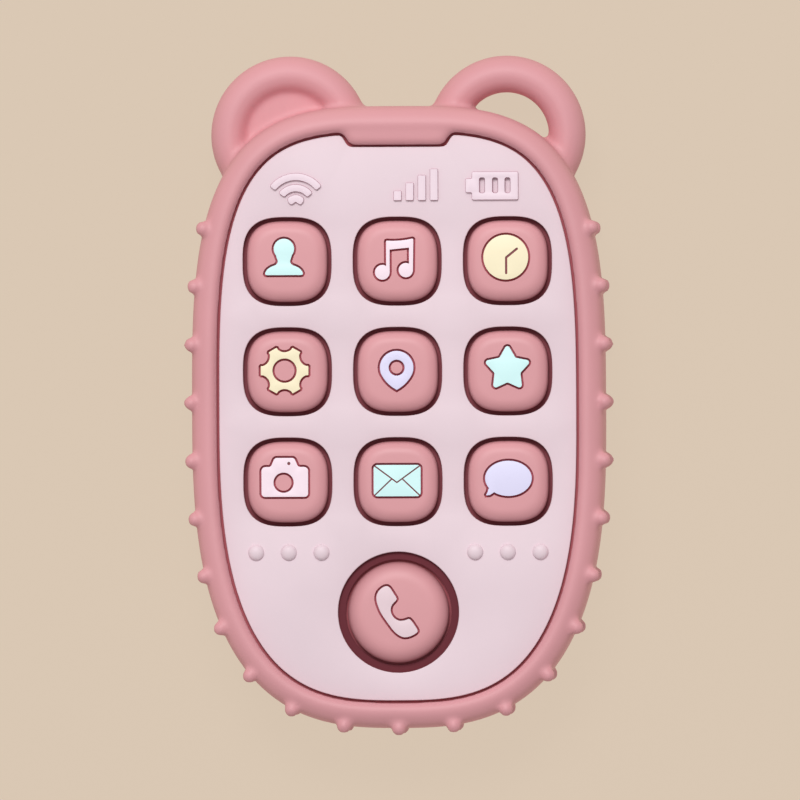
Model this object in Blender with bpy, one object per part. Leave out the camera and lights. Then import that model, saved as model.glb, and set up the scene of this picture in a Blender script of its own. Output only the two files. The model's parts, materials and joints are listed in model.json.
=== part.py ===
"""A toddler's toy cell phone: a plastic phone with ten sprung keys, held in a soft silicone teether sleeve.

It lies on its back. X runs across the phone, +Y towards the ears and +Z out of the face. The origin is
under the middle of the object's box. Lengths are in millimetres until a mesh is made, which is in metres.
"""

import math

import bmesh
import bpy
from mathutils import Matrix, Vector

MM = 0.001
GAP = 0.3  # what touching pieces keep between them

# The sleeve, which sets the whole object's size
BODY_WIDTH = 89.8
BODY_TOP = 67.0  # how far it reaches above and below its widest line
BODY_LOW = 68.3
BODY_DEPTH = 25.0
TOP_POWER = 3.35  # how square the top half's corners are
BOTTOM_POWER = 2.83
OUTLINE_STEPS = 48
SLEEVE_WALL = 3.0
SHOULDER_WIDE = 3.2  # the round edge of the rim, across and up
SHOULDER_HIGH = 4.5
LIP_REACH = 5.6  # how far the front lip comes in from the side
LIP_EDGE = 23.5  # top of the lip's inner edge
BACK_REACH = 13.0
BACK_LIP = 2.2
TAB_HALF = 10.3  # the tab at the top of the face
TAB_SHOULDER = 11.8
TAB_LOW = 58.5

# The ears: two rings, the left one closed by a thin web
EAR_X = 23.6
EAR_Y = 60.75
EAR_RADIUS = 13.2
EAR_TUBE = 4.05
EAR_HALF_DEPTH = 5.0
EAR_WEB = 5.2
EAR_STEPS = 16

# The teething bumps along the sides and the bottom, counted from the one in the middle of the bottom
BUMP_RADIUS = 1.75
BUMP_PITCHES = (11.9,) * 5 + (12.68,) * 6
BUMP_HEIGHT = 22.9
BUMP_SEARCH = 720  # how finely the outline is walked to place them

# The plastic phone
SHELL_INSET = SLEEVE_WALL + GAP
SHELL_WALL = 1.8
SPLIT = 11.0
SEAT = 21.5  # the ledge round the face that the sleeve's lip rests on
FACE = 22.5
PLATE_UNDER = 20.7
PANEL_GAP = 0.45  # the shadow line between lip and face
EMBOSS = 0.6
BACK_FACE = 1.0

# The keys
KEY_PITCH = 23.95
KEY_TOP_ROW = 33.2
KEY_HALF = 8.8
KEY_POWER = 2.9
HOLE_HALF = 9.65
FLANGE_HALF = 10.8
FLANGE_LOW = 19.4
FLANGE_TOP = PLATE_UNDER - GAP
KEY_TOP = 25.0
KEY_CAVITY = 7.8
CALL_Y = -43.05
CALL_RADIUS = 10.97
CALL_HOLE = 13.15
CALL_WELL = 11.5  # the narrow part of its hole, under a ledge
CALL_LEDGE = 21.5
CALL_FLANGE = 12.8
CALL_TOP = 25.2
CALL_CAVITY = 9.0
POST_RADIUS = 2.2
INLAY_GAP = 0.4
INLAY_DEEP = 1.1
KEY_STEPS = 16

# Inside
BOARD_LOW = 15.4
BOARD_TOP = 16.6
BOARD_SIZE = (68.6, 92.6, 13.5)  # width, height, corner radius
BOARD_Y = -6.7
PILLAR_HOLE = 3.3  # lets the lower screw bosses through
SHEET_THICK = 0.7
DOME_RADIUS = 4.2
DOME_HOLE = 4.6
DOME_TOP = FLANGE_LOW - GAP
CASE_SCREWS = ((-15.0, 45.0), (15.0, 45.0), (-18.2, -44.0), (18.2, -44.0))
LAMP_Y = 21.2
SPEAKER_Y = 27.0
SPEAKER_RADIUS = 14.0
SWITCH_Y = 3.0
SWITCH_TRAVEL = 4.4
KNOB_LEVELS = (  # width, height and how high up
    (3.4, 2.2, 0.35),
    (4.0, 2.6, 0.8),
    (4.0, 2.6, 3.0),
    (7.5, 5.2, 3.05),
    (7.5, 5.2, 3.9),
    (2.6, 2.0, 3.95),
    (2.6, 2.0, 5.0),
)
BAY_Y = -21.0
BAY_SIZE = (52.4, 22.6)
BAY_ROOF = 14.0
DOOR_SIZE = (57.0, 27.0, 3.0)
DOOR_LOBE_Y = -15.0  # the screw's lobe, from the bay's middle
CELL_RADIUS = 5.25
CELL_LENGTH = 44.5
CELL_Z = 8.3
CELL_OFFSET = 5.55  # each cell's middle from the bay's
CONTACT_THICK = 0.4
WIRE = 1.2  # thickness over its insulation

# The whole object's box runs from the lowest bump to the top of the ears
TOP_END = EAR_Y + EAR_RADIUS + EAR_TUBE
LOW_END = BODY_LOW + BUMP_RADIUS
BODY_Y = (LOW_END - TOP_END) / 2

KEYS = {
    "person": (-1, 0),
    "music": (0, 0),
    "clock": (1, 0),
    "gear": (-1, 1),
    "pin": (0, 1),
    "star": (1, 1),
    "camera": (-1, 2),
    "mail": (0, 2),
    "chat": (1, 2),
}


# ---------------------------------------------------------------- outlines


def arc(x, y, radius, start, end, steps, radius_y=None):
    """Points along a circle or an ellipse, from one angle to another in degrees."""
    points = []
    for i in range(steps + 1):
        angle = math.radians(start + (end - start) * i / steps)
        points.append((x + radius * math.cos(angle), y + (radius_y or radius) * math.sin(angle)))
    return points


def circle(radius, steps, x=0.0, y=0.0):
    return arc(x, y, radius, 0, 360, steps)[:-1]


def rounded(corners, steps=4):
    """A closed outline through corners given as (x, y, radius), each one rounded by an arc."""
    points = []
    for i, (x, y, radius) in enumerate(corners):
        here = Vector((x, y))
        before = (Vector(corners[i - 1][:2]) - here).normalized()
        after = (Vector(corners[(i + 1) % len(corners)][:2]) - here).normalized()
        if radius <= 0:
            points.append((x, y))
            continue
        half = before.angle(after) / 2
        centre = here + (before + after).normalized() * (radius / math.sin(half))
        first = (here + before * (radius / math.tan(half)) - centre).normalized()
        last = (here + after * (radius / math.tan(half)) - centre).normalized()
        for j in range(steps + 1):
            points.append(tuple(centre + first.slerp(last, j / steps) * radius))
    return points


def box_outline(width, height, radius, x=0.0, y=0.0, steps=4):
    w, h = width / 2, height / 2
    corners = ((-w, -h), (w, -h), (w, h), (-w, h))
    return rounded([(x + cx, y + cy, radius) for cx, cy in corners], steps)


def bow(start, end, rise, steps=4):
    """Points between two ends, without the ends, on a curve that stands off the straight line by rise."""
    a, b = Vector(start), Vector(end)
    side = Vector(((b - a).y, -(b - a).x)).normalized()
    shares = [i / steps for i in range(1, steps)]
    return [tuple(a.lerp(b, s) + side * rise * 4 * s * (1 - s)) for s in shares]


def grow(points, distance):
    """The outline moved outwards, or inwards where distance is below 0. Points run anticlockwise."""
    grown = []
    for i, point in enumerate(points):
        here = Vector(point)
        into = (here - Vector(points[i - 1])).normalized()
        out = (Vector(points[(i + 1) % len(points)]) - here).normalized()
        a, b = Vector((into.y, -into.x)), Vector((out.y, -out.x))
        grown.append(tuple(here + (a + b) * (distance / (1 + a.dot(b)))))
    return grown


def squircle(half, steps=KEY_STEPS):
    """A square whose sides swell into its corners."""
    points = []
    for i in range(steps):
        c, s = math.cos(2 * math.pi * i / steps), math.sin(2 * math.pi * i / steps)
        radius = half / (abs(c) ** KEY_POWER + abs(s) ** KEY_POWER) ** (1 / KEY_POWER)
        points.append((radius * c, radius * s))
    return points


def body_outline(inset=0.0, steps=OUTLINE_STEPS):
    """The phone's outline, moved inwards along its normals."""
    a = BODY_WIDTH / 2
    points = []
    for i in range(steps):
        c, s = math.cos(2 * math.pi * i / steps), math.sin(2 * math.pi * i / steps)
        b, n = (BODY_TOP, TOP_POWER) if s > 0 else (BODY_LOW, BOTTOM_POWER)
        radius = ((abs(c) / a) ** n + (abs(s) / b) ** n) ** (-1 / n)
        x, y = radius * c, radius * s
        slope_x = math.copysign((abs(x) / a) ** (n - 1) / a, x)
        slope_y = math.copysign((abs(y) / b) ** (n - 1) / b, y)
        normal = Vector((slope_x, slope_y)).normalized()
        points.append((x - normal.x * inset, y - normal.y * inset))
    return points


def opening_outline():
    """The edge of the sleeve's front lip, with the tab that comes down over the top of the face."""
    edge = [p for p in body_outline(LIP_REACH) if p[1] < 0 or abs(p[0]) > TAB_SHOULDER + 1]
    split = next(i for i, p in enumerate(edge) if p[0] < 0 and p[1] > 0)
    tab = [
        (TAB_SHOULDER, TAB_LOW + 2.7),
        (TAB_SHOULDER - 0.7, TAB_LOW + 1.1),
        (TAB_HALF, TAB_LOW),
    ]
    mirrored = [(-x, y) for x, y in reversed(tab)]
    return edge[:split] + tab + mirrored + edge[split:]


def bump_spots():
    """Where the bumps stand along the outline, from the middle of the bottom up both sides."""
    fine = body_outline(steps=BUMP_SEARCH)
    lowest = BUMP_SEARCH * 3 // 4
    spots = [fine[lowest]]
    for turn in (1, -1):
        walked, place = 0.0, lowest
        for due in BUMP_PITCHES:
            while walked < due:
                after = (place + turn) % BUMP_SEARCH
                walked += math.dist(fine[place], fine[after])
                place = after
            walked -= due
            spots.append(fine[place])
    return spots


# ---------------------------------------------------------------- the pictures on the keys


def person():
    x = -0.57
    right = arc(1.0, -2.94, 3.15, 0, 72, 4, radius_y=2.2) + [(1.42, -0.35), (1.3, 0.2)]
    head = arc(0, 2.75, 2.21, -38, 218, 11)
    left = [(-px, py) for px, py in reversed(right)]
    return [(x + px, y) for px, y in right + head + left], []


def music():
    beam = [(3.6, 4.7), (3.3, 4.85)] + bow((3.3, 4.85), (-2.32, 4.43), -0.2) + [(-2.2, 4.45), (-2.32, 4.3)]
    left_head = arc(-3.15, -2.42, 1.6, 58.7, 360, 11)
    right_head = arc(1.95, -1.96, 1.55, 63, 360, 11)
    inner = [(-1.55, 2.5), (2.66, 2.93)]
    return beam + left_head + inner + right_head, []


def clock():
    return circle(4.87, 22, -0.28, 0.76), []


def gear():
    teeth, notch_at, notch = 6, 6.21, 2.2
    points = []
    for i in range(teeth):
        turn = Matrix.Rotation(2 * math.pi * i / teeth, 2)
        tip = [(5.18, -1.0), (5.18, 1.0)]
        aim = math.pi / teeth
        hollow = arc(notch_at * math.cos(aim), notch_at * math.sin(aim), notch, 252, 168, 4)
        points += [tuple(turn @ Vector(p)) for p in tip + hollow]
    return [(x - 0.52, y + 0.26) for x, y in points], [circle(2.63, 14, -0.52, 0.26)]


def pin():
    x, y = -0.12, 0.81
    head = arc(x, y, 3.66, -20, 200, 13)
    left, tip, right = head[-1], (x, y - 4.85), head[0]
    outline = head + bow(left, tip, 0.38) + [tip] + bow(tip, right, 0.38)
    return outline, [circle(1.72, 10, x, y)]


def star():
    corners = []
    for i in range(10):
        radius, turn = ((5.45, 0.55), (2.95, 0.6))[i % 2]
        angle = math.radians(90 + 36 * i)
        corners.append((radius * math.cos(angle), 0.5 + radius * math.sin(angle), turn))
    return rounded(corners, 2), []


def camera():
    corners = [
        (-5.62, -3.19, 0.75),
        (4.5, -3.19, 0.75),
        (4.5, 3.3, 0.9),
        (2.35, 3.3, 0.7),
        (1.5, 5.26, 0.7),
        (-2.75, 5.26, 0.7),
        (-3.6, 3.3, 0.7),
        (-5.62, 3.3, 0.9),
    ]
    return rounded(corners, 2), [circle(2.2, 12, -0.83, -0.11)]


def mail():
    return box_outline(10.2, 6.8, 0.8, -0.1, 0.25, 3), []


def chat():
    bubble = arc(0.12, 0.66, 5.07, -128, 214, 20, radius_y=3.83)
    return bubble + [(-4.28, -1.75), (-4.66, -3.0), (-3.9, -2.95)], []


def handset():
    ear_end = [(-0.45, 2.8), (-0.5, 3.3), (-2.0, 5.75), (-2.9, 5.55)]
    back = [(-4.15, 4.5), (-4.65, 3.1), (-4.55, 1.4), (-3.85, -0.5), (-2.8, -2.35), (-1.6, -3.9)]
    mouth_end = [(-0.3, -4.95), (0.9, -5.35), (1.9, -5.15), (3.85, -4.0), (4.2, -3.5), (3.1, -1.95)]
    grip = [(2.5, -1.45), (1.2, -1.95), (0.3, -2.1), (-0.6, -1.75), (-1.4, -0.8), (-1.85, 0.5), (-1.6, 1.6)]
    return ear_end + back + mouth_end + grip, []


PICTURES = {
    "person": person,
    "music": music,
    "clock": clock,
    "gear": gear,
    "pin": pin,
    "star": star,
    "camera": camera,
    "mail": mail,
    "chat": chat,
    "call": handset,
}


# ---------------------------------------------------------------- solids


def ring(bm, points, z=None):
    """A closed loop of edges."""
    verts = [bm.verts.new(Vector((*p, z) if z is not None else p) * MM) for p in points]
    return [bm.edges.new(pair) for pair in zip(verts, verts[1:] + verts[:1])]


def loft(bm, levels):
    """A closed skin through flat loops, given as (points, z), with a cap at each end.

    The loops are bridged well apart, so that ones at the same height still pair up, and then moved.
    """
    loops = [ring(bm, points, 100 * i) for i, (points, z) in enumerate(levels)]
    faces = []
    for low, high in zip(loops, loops[1:]):
        faces += bmesh.ops.bridge_loops(bm, edges=low + high)["faces"]
    for loop in (loops[0], loops[-1]):
        faces += bmesh.ops.edgeloop_fill(bm, edges=loop)["faces"]
    for loop, (points, z) in zip(loops, levels):
        for vert in {vert for edge in loop for vert in edge.verts}:
            vert.co.z = z * MM
    bmesh.ops.recalc_face_normals(bm, faces=faces)


def prism(bm, loops, low, high):
    """An outline pulled up from one height to another. Loops after the first are holes in it."""
    edges = [edge for points in loops for edge in ring(bm, points, low)]
    filled = bmesh.ops.triangle_fill(bm, edges=edges, use_beauty=True, normal=(0, 0, 1))
    floor = [f for f in filled["geom"] if isinstance(f, bmesh.types.BMFace)]
    pulled = bmesh.ops.extrude_face_region(bm, geom=floor, use_keep_orig=True)["geom"]
    moved = [v for v in pulled if isinstance(v, bmesh.types.BMVert)]
    bmesh.ops.translate(bm, verts=moved, vec=(0, 0, (high - low) * MM))
    faces = {f for v in moved for f in v.link_faces} | set(floor)
    bmesh.ops.recalc_face_normals(bm, faces=list(faces))


def turned(bm, profile, steps, x=0.0, y=0.0):
    """A solid turned round a vertical axis, from (radius, z) pairs with a flat disc at each end."""
    loft(bm, [(circle(radius, steps, x, y), z) for radius, z in profile])


def box(bm, low, high):
    corners = [(low[0], low[1]), (high[0], low[1]), (high[0], high[1]), (low[0], high[1])]
    prism(bm, [corners], low[2], high[2])


def stud(bm, centre, radius):
    """A small ball with one of its corners pointing away from the Z axis."""
    outward = Vector((centre[0], centre[1], 0)).to_track_quat("Z", "Y").to_matrix().to_4x4()
    at = Matrix.Translation(Vector(centre) * MM) @ outward
    bmesh.ops.create_icosphere(bm, subdivisions=1, radius=radius * MM, matrix=at)


# ---------------------------------------------------------------- objects


def clear_scene():
    for obj in list(bpy.data.objects):
        bpy.data.objects.remove(obj, do_unlink=True)


def plastic(name, colour, roughness=0.45, metallic=0.0):
    made = bpy.data.materials.new(name)
    made.use_nodes = True
    shader = made.node_tree.nodes["Principled BSDF"]
    shader.inputs["Base Color"].default_value = (*colour, 1)
    shader.inputs["Roughness"].default_value = roughness
    shader.inputs["Metallic"].default_value = metallic
    return made


def empty(name, at, parent=None):
    made = bpy.data.objects.new(name, None)
    made.empty_display_size = 0.005
    made.location = Vector(at) * MM
    made.parent = parent
    bpy.context.scene.collection.objects.link(made)
    return made


def solid(name, build, material, parent, at=(0, 0, 0)):
    """An object whose mesh build(bm) makes."""
    bm = bmesh.new()
    build(bm)
    mesh = bpy.data.meshes.new(name)
    bm.to_mesh(mesh)
    bm.free()
    mesh.shade_smooth()
    mesh.set_sharp_from_angle(angle=math.radians(35))
    made = bpy.data.objects.new(name, mesh)
    made.location = Vector(at) * MM
    made.parent = parent
    if material:
        mesh.materials.append(material)
    bpy.context.scene.collection.objects.link(made)
    return made


def shape_with(target, operation, name, build, at=(0, 0, 0)):
    """A Boolean on target with a helper solid that stays in the scene as a wire."""
    tool = solid(f"{target.name}_{name}", build, None, target.parent, at)
    tool.hide_render = True
    tool.display_type = "WIRE"
    modifier = target.modifiers.new(name, "BOOLEAN")
    modifier.operation = operation
    modifier.object = tool


def wire(name, route, thickness, material, parent, sides=2):
    """A round wire along a smooth curve through the route's points."""
    curve = bpy.data.curves.new(name, "CURVE")
    curve.dimensions = "3D"
    curve.bevel_depth = thickness / 2 * MM
    curve.bevel_resolution = sides
    curve.use_fill_caps = True
    spline = curve.splines.new("POLY")
    spline.points.add(len(route) - 1)
    for point, spot in zip(spline.points, route):
        point.co = (*(Vector(spot) * MM), 1)
    made = bpy.data.objects.new(name, curve)
    made.parent = parent
    curve.materials.append(material)
    bpy.context.scene.collection.objects.link(made)
    return made


def through(points, steps=3):
    """A smooth curve through points, ends included."""
    ends = [Vector(points[0]) * 2 - Vector(points[1])]
    ends += [Vector(p) for p in points]
    ends += [Vector(points[-1]) * 2 - Vector(points[-2])]
    route = []
    for a, b, c, d in zip(ends, ends[1:], ends[2:], ends[3:]):
        bend, twist = 2 * a - 5 * b + 4 * c - d, 3 * b - a - 3 * c + d
        for i in range(steps):
            t = i / steps
            route.append((2 * b + (c - a) * t + bend * t**2 + twist * t**3) / 2)
    return route + [Vector(points[-1])]


# ---------------------------------------------------------------- the sleeve


def shoulder(steps):
    """(inset, height) pairs over the rim's round outer edge, from its side to its crest."""
    low = BODY_DEPTH - SHOULDER_HIGH
    pairs = []
    for i in range(steps + 1):
        angle = math.pi / 2 * i / steps
        pairs.append((SHOULDER_WIDE * (1 - math.cos(angle)), low + SHOULDER_HIGH * math.sin(angle)))
    return pairs


def sleeve_block(bm):
    """The sleeve's outside, before it is hollowed."""
    front = shoulder(3)
    lip = [((SHOULDER_WIDE + LIP_REACH) / 2 + 0.4, BODY_DEPTH - 0.35), (LIP_REACH, LIP_EDGE)]
    back = [(inset, BODY_DEPTH - z) for inset, z in reversed(front)]
    loft(bm, [(body_outline(inset), z) for inset, z in back + front + lip])


def ear_ring(bm):
    """One ear's ring, standing round the local Z axis."""
    profile = arc(EAR_RADIUS, BODY_DEPTH / 2, EAR_TUBE, 0, 360, 8, radius_y=EAR_HALF_DEPTH)[:-1]
    edges = ring(bm, [(x, 0, z) for x, z in profile])
    geometry = list({v for e in edges for v in e.verts}) + edges
    bmesh.ops.spin(
        bm,
        geom=geometry,
        cent=(0, 0, 0),
        axis=(0, 0, 1),
        angle=2 * math.pi,
        steps=EAR_STEPS,
        use_merge=True,
    )
    bmesh.ops.recalc_face_normals(bm, faces=bm.faces[:])


def sleeve_bumps(bm):
    for x, y in bump_spots():
        for z in (BUMP_HEIGHT, BODY_DEPTH - BUMP_HEIGHT):
            stud(bm, (x, y, z), BUMP_RADIUS)


def make_sleeve(phone, silicone):
    sleeve = solid("silicone_sleeve", sleeve_block, silicone, phone)
    shape_with(sleeve, "UNION", "bumps", sleeve_bumps)
    shape_with(sleeve, "UNION", "ear_loop", ear_ring, (EAR_X, EAR_Y, 0))
    shape_with(sleeve, "UNION", "ear_cup", ear_ring, (-EAR_X, EAR_Y, 0))
    middle = BODY_DEPTH / 2
    web = [(EAR_RADIUS, middle - EAR_WEB / 2), (EAR_RADIUS, middle + EAR_WEB / 2)]
    shape_with(sleeve, "UNION", "ear_web", lambda bm: turned(bm, web, EAR_STEPS), (-EAR_X, EAR_Y, 0))
    inside = body_outline(SLEEVE_WALL)
    shape_with(sleeve, "DIFFERENCE", "hollow", lambda bm: prism(bm, [inside], BACK_LIP, SEAT + GAP))

    def openings(bm):
        prism(bm, [opening_outline()], SEAT - 2, BODY_DEPTH + 2)
        prism(bm, [body_outline(BACK_REACH)], -1, BACK_LIP + 1)

    shape_with(sleeve, "DIFFERENCE", "openings", openings)


# ---------------------------------------------------------------- the two halves of the case


def key_places():
    """Each square key's name and centre."""
    return {
        name: (column * KEY_PITCH, KEY_TOP_ROW - row * KEY_PITCH)
        for name, (column, row) in KEYS.items()
    }


def status_signs(bm):
    """The raised signs on the face: signal fan, signal bars, battery and two rows of dots."""
    low, high = FACE - 0.3, FACE + EMBOSS
    fan_x, fan_y = -22.0, 45.35
    for outer, inner in ((7.0, 5.5), (4.45, 2.95)):
        band = arc(fan_x, fan_y, outer, 37, 143, 8) + arc(fan_x, fan_y, inner, 143, 37, 8)
        prism(bm, [band], low, high)
    prism(bm, [arc(fan_x, fan_y, 2.0, 37, 143, 4) + [(fan_x, fan_y + 0.5)]], low, high)
    for i, height in enumerate((2.1, 3.9, 5.5, 6.9)):
        x = 0.14 + 2.64 * i
        box(bm, (x - 0.87, 46.3, low), (x + 0.87, 46.3 + height, high))
    left, right, foot, head = 16.3, 26.3, 46.5, 52.5
    nub = [(left, 51.0), (14.9, 51.0), (14.9, 48.1), (left, 48.1)]
    case = [(left, foot), (right, foot), (right, head), (left, head)]
    slots = [box_outline(1.3, 3.5, 0.4, x, 49.6, 1) for x in (18.5, 21.35, 24.05)]
    prism(bm, [case + nub] + slots, low, high)
    for x in (16.7, 23.8, 30.9):
        for side in (-1, 1):
            turned(bm, [(1.65, low), (1.65, FACE + 0.4), (1.0, FACE + 0.9)], 8, side * x, -30.1)


def make_front_cover(phone, pale):
    panel = grow(opening_outline(), -PANEL_GAP)

    def shell(bm):
        steps = [(SHELL_INSET, SPLIT), (SHELL_INSET, SEAT - 0.8), (SHELL_INSET + 0.8, SEAT)]
        loft(bm, [(body_outline(inset), z) for inset, z in steps])

    cover = solid("front_cover", shell, pale, phone)
    shape_with(cover, "UNION", "panel", lambda bm: loft(bm, [(panel, SEAT - 0.5), (panel, FACE)]))
    inside = body_outline(SHELL_INSET + SHELL_WALL)
    shape_with(cover, "DIFFERENCE", "hollow", lambda bm: prism(bm, [inside], SPLIT - 1, PLATE_UNDER))

    def bosses(bm):
        for x, y in CASE_SCREWS:
            turned(bm, [(2.8, 9.0), (2.8, PLATE_UNDER + 0.5)], 12, x, y)

    def screw_holes(bm):
        for x, y in CASE_SCREWS:
            turned(bm, [(1.3, 8.0), (1.3, 18.0)], 8, x, y)

    def key_holes(bm):
        for x, y in key_places().values():
            hole = [(x + px, y + py) for px, py in squircle(HOLE_HALF)]
            prism(bm, [hole], PLATE_UNDER - 1, FACE + 1)
        well = [(CALL_WELL, PLATE_UNDER - 1), (CALL_WELL, CALL_LEDGE)]
        turned(bm, well + [(CALL_HOLE, CALL_LEDGE), (CALL_HOLE, FACE + 1)], 24, 0, CALL_Y)

    shape_with(cover, "UNION", "bosses", bosses)
    shape_with(cover, "DIFFERENCE", "screw_holes", screw_holes)
    shape_with(cover, "DIFFERENCE", "key_holes", key_holes)
    shape_with(cover, "UNION", "signs", status_signs)


def grille_holes():
    """Centres of the speaker's sound holes: one, four and eight."""
    spots = [(0.0, SPEAKER_Y)]
    for count, radius in ((4, 4.0), (8, 8.0)):
        spots += circle(radius, count, 0, SPEAKER_Y)
    return spots


def door_outline(clearance=0.0):
    """The battery door, a rounded plate with a round lobe for its screw, about the bay's middle."""
    width, height, radius = DOOR_SIZE
    w, h = width / 2, height / 2
    corners = [
        (-w, -h, radius),
        (-5.6, -h, 1.2),
        (-4.4, DOOR_LOBE_Y - 4.6, 4.0),
        (4.4, DOOR_LOBE_Y - 4.6, 4.0),
        (5.6, -h, 1.2),
        (w, -h, radius),
        (w, h, radius),
        (-w, h, radius),
    ]
    return grow(rounded(corners, 4), clearance)


def make_rear_cover(phone, pale):
    seat = BACK_LIP + GAP  # where the shell lies on the sleeve's back lip
    floor = seat + 1.6
    wall = SHELL_INSET + SHELL_WALL

    def shell(bm):
        steps = [
            (BACK_REACH + 0.6, BACK_FACE),
            (BACK_REACH + 0.4, seat),
            (SHELL_INSET + 2.2, seat),
            (SHELL_INSET + 0.5, seat + 0.8),
            (SHELL_INSET, seat + 2.4),
            (SHELL_INSET, SPLIT - GAP),
        ]
        loft(bm, [(body_outline(inset), z) for inset, z in steps])

    def hollow(bm):
        steps = [
            (BACK_REACH + 2.6, BACK_FACE + 1.6),
            (BACK_REACH + 2.4, floor),
            (wall + 1.5, floor),
            (wall, floor + 1.5),
            (wall, SPLIT + 1),
        ]
        loft(bm, [(body_outline(inset), z) for inset, z in steps])

    def bay_floor(bm):
        box(bm, (-30.2, BAY_Y - 15.2, seat), (30.2, BAY_Y + 15.2, 4.4))

    def bay_box(bm):
        width, height = BAY_SIZE
        w, h = width / 2 + 1.2, height / 2 + 1.2
        box(bm, (-w, BAY_Y - h, BACK_FACE + 1.2), (w, BAY_Y + h, BAY_ROOF + 1))

    def pillars(bm):
        for x, y in CASE_SCREWS:
            turned(bm, [(3.7, BACK_FACE + 0.8), (3.7, 8.7)], 10, x, y)

    def door_pillar(bm):
        steps = [(5.4, BACK_FACE + 0.8), (5.4, 4.3), (3.2, 4.6), (3.2, 10.5)]
        turned(bm, steps, 14, 0, BAY_Y + DOOR_LOBE_Y)

    def door_recess(bm):
        placed = [(x, BAY_Y + y) for x, y in door_outline(GAP)]
        prism(bm, [placed], BACK_FACE - 1, BACK_FACE + 1.8)

    def bay_pocket(bm):
        w, h = BAY_SIZE[0] / 2, BAY_SIZE[1] / 2
        box(bm, (-w, BAY_Y - h, 0.5), (w, BAY_Y + h, BAY_ROOF))

    def round_holes(bm):
        for x, y in CASE_SCREWS:
            turned(bm, [(2.8, 0), (2.8, 4.2), (1.5, 4.3), (1.5, 12)], 8, x, y)
        for x, y in grille_holes():
            turned(bm, [(1.0, 0), (1.0, 6)], 6, x, y)
        turned(bm, [(1.4, 0.4), (1.4, 9.5)], 8, 0, BAY_Y + DOOR_LOBE_Y)

    def switch_recess(bm):
        box(bm, (-8.0, SWITCH_Y - 4.0, 0), (8.0, SWITCH_Y + 4.0, BACK_FACE + 0.7))

    def switch_slot(bm):
        length = KNOB_LEVELS[1][0] + SWITCH_TRAVEL + 2 * GAP
        prism(bm, [box_outline(length, 3.2, 0.8, 0, SWITCH_Y, 2)], 0.5, 6)

    def contact_slots(bm):
        for side in (-1, 1):
            middle = BAY_Y + side * CELL_OFFSET
            box(bm, (25.2, middle - 1.8, BAY_ROOF - 1), (BAY_SIZE[0] / 2, middle + 1.8, BAY_ROOF + 2))

    cover = solid("rear_cover", shell, pale, phone)
    shape_with(cover, "DIFFERENCE", "hollow", hollow)
    shape_with(cover, "UNION", "bay_floor", bay_floor)
    shape_with(cover, "UNION", "bay", bay_box)
    shape_with(cover, "UNION", "pillars", pillars)
    shape_with(cover, "UNION", "door_pillar", door_pillar)
    shape_with(cover, "DIFFERENCE", "door_recess", door_recess)
    shape_with(cover, "DIFFERENCE", "bay_pocket", bay_pocket)
    shape_with(cover, "DIFFERENCE", "round_holes", round_holes)
    shape_with(cover, "DIFFERENCE", "switch_recess", switch_recess)
    shape_with(cover, "DIFFERENCE", "switch_slot", switch_slot)
    shape_with(cover, "DIFFERENCE", "contact_slots", contact_slots)


def make_battery_door(phone, pale, steel):
    def plate(bm):
        prism(bm, [door_outline()], BACK_FACE, BACK_FACE + 1.5)

    def sink(bm):
        steps = [(2.7, BACK_FACE - 1), (2.7, BACK_FACE + 0.7), (1.3, BACK_FACE + 0.8), (1.3, 6)]
        turned(bm, steps, 14, 0, DOOR_LOBE_Y)

    joint = empty("battery_door_joint", (0, BAY_Y, BACK_FACE), phone)
    door = solid("battery_door", plate, pale, joint, (0, 0, -BACK_FACE))
    shape_with(door, "DIFFERENCE", "screw_sink", sink, (0, 0, -BACK_FACE))
    make_screw("battery_door_screw", steel, phone, (0, BAY_Y + DOOR_LOBE_Y, BACK_FACE + 0.35), 1.0, 7.6)


# ---------------------------------------------------------------- fasteners, keys and what lies inside


def make_screw(name, steel, phone, at, shank_radius, length):
    """A cross-headed screw, head down, about its own axis."""
    head_radius = 2.3

    def body(bm):
        head = [(head_radius - 0.3, 0), (head_radius, 0.25), (shank_radius + 0.2, 0.44)]
        turned(bm, head + [(shank_radius, length - 1.2), (0.35, length)], 12)

    def cross(bm):
        arm, wide = head_radius * 0.62, 0.3
        corners = [(wide, wide), (wide, arm), (-wide, arm), (-wide, wide), (-arm, wide), (-arm, -wide)]
        corners += [(-x, -y) for x, y in corners]
        prism(bm, [corners], -1, 0.22)

    screw = solid(name, body, steel, phone, at)
    shape_with(screw, "DIFFERENCE", "cross", cross, at)


def key_body(bm, outline, flange, rim):
    """A key drawn by outline(half), with its flange under the face and its sides and top from rim."""
    levels = [(flange, FLANGE_LOW), (flange, FLANGE_TOP), (rim[0][0], FLANGE_TOP)]
    loft(bm, [(outline(half), z) for half, z in levels + rim])


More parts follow.
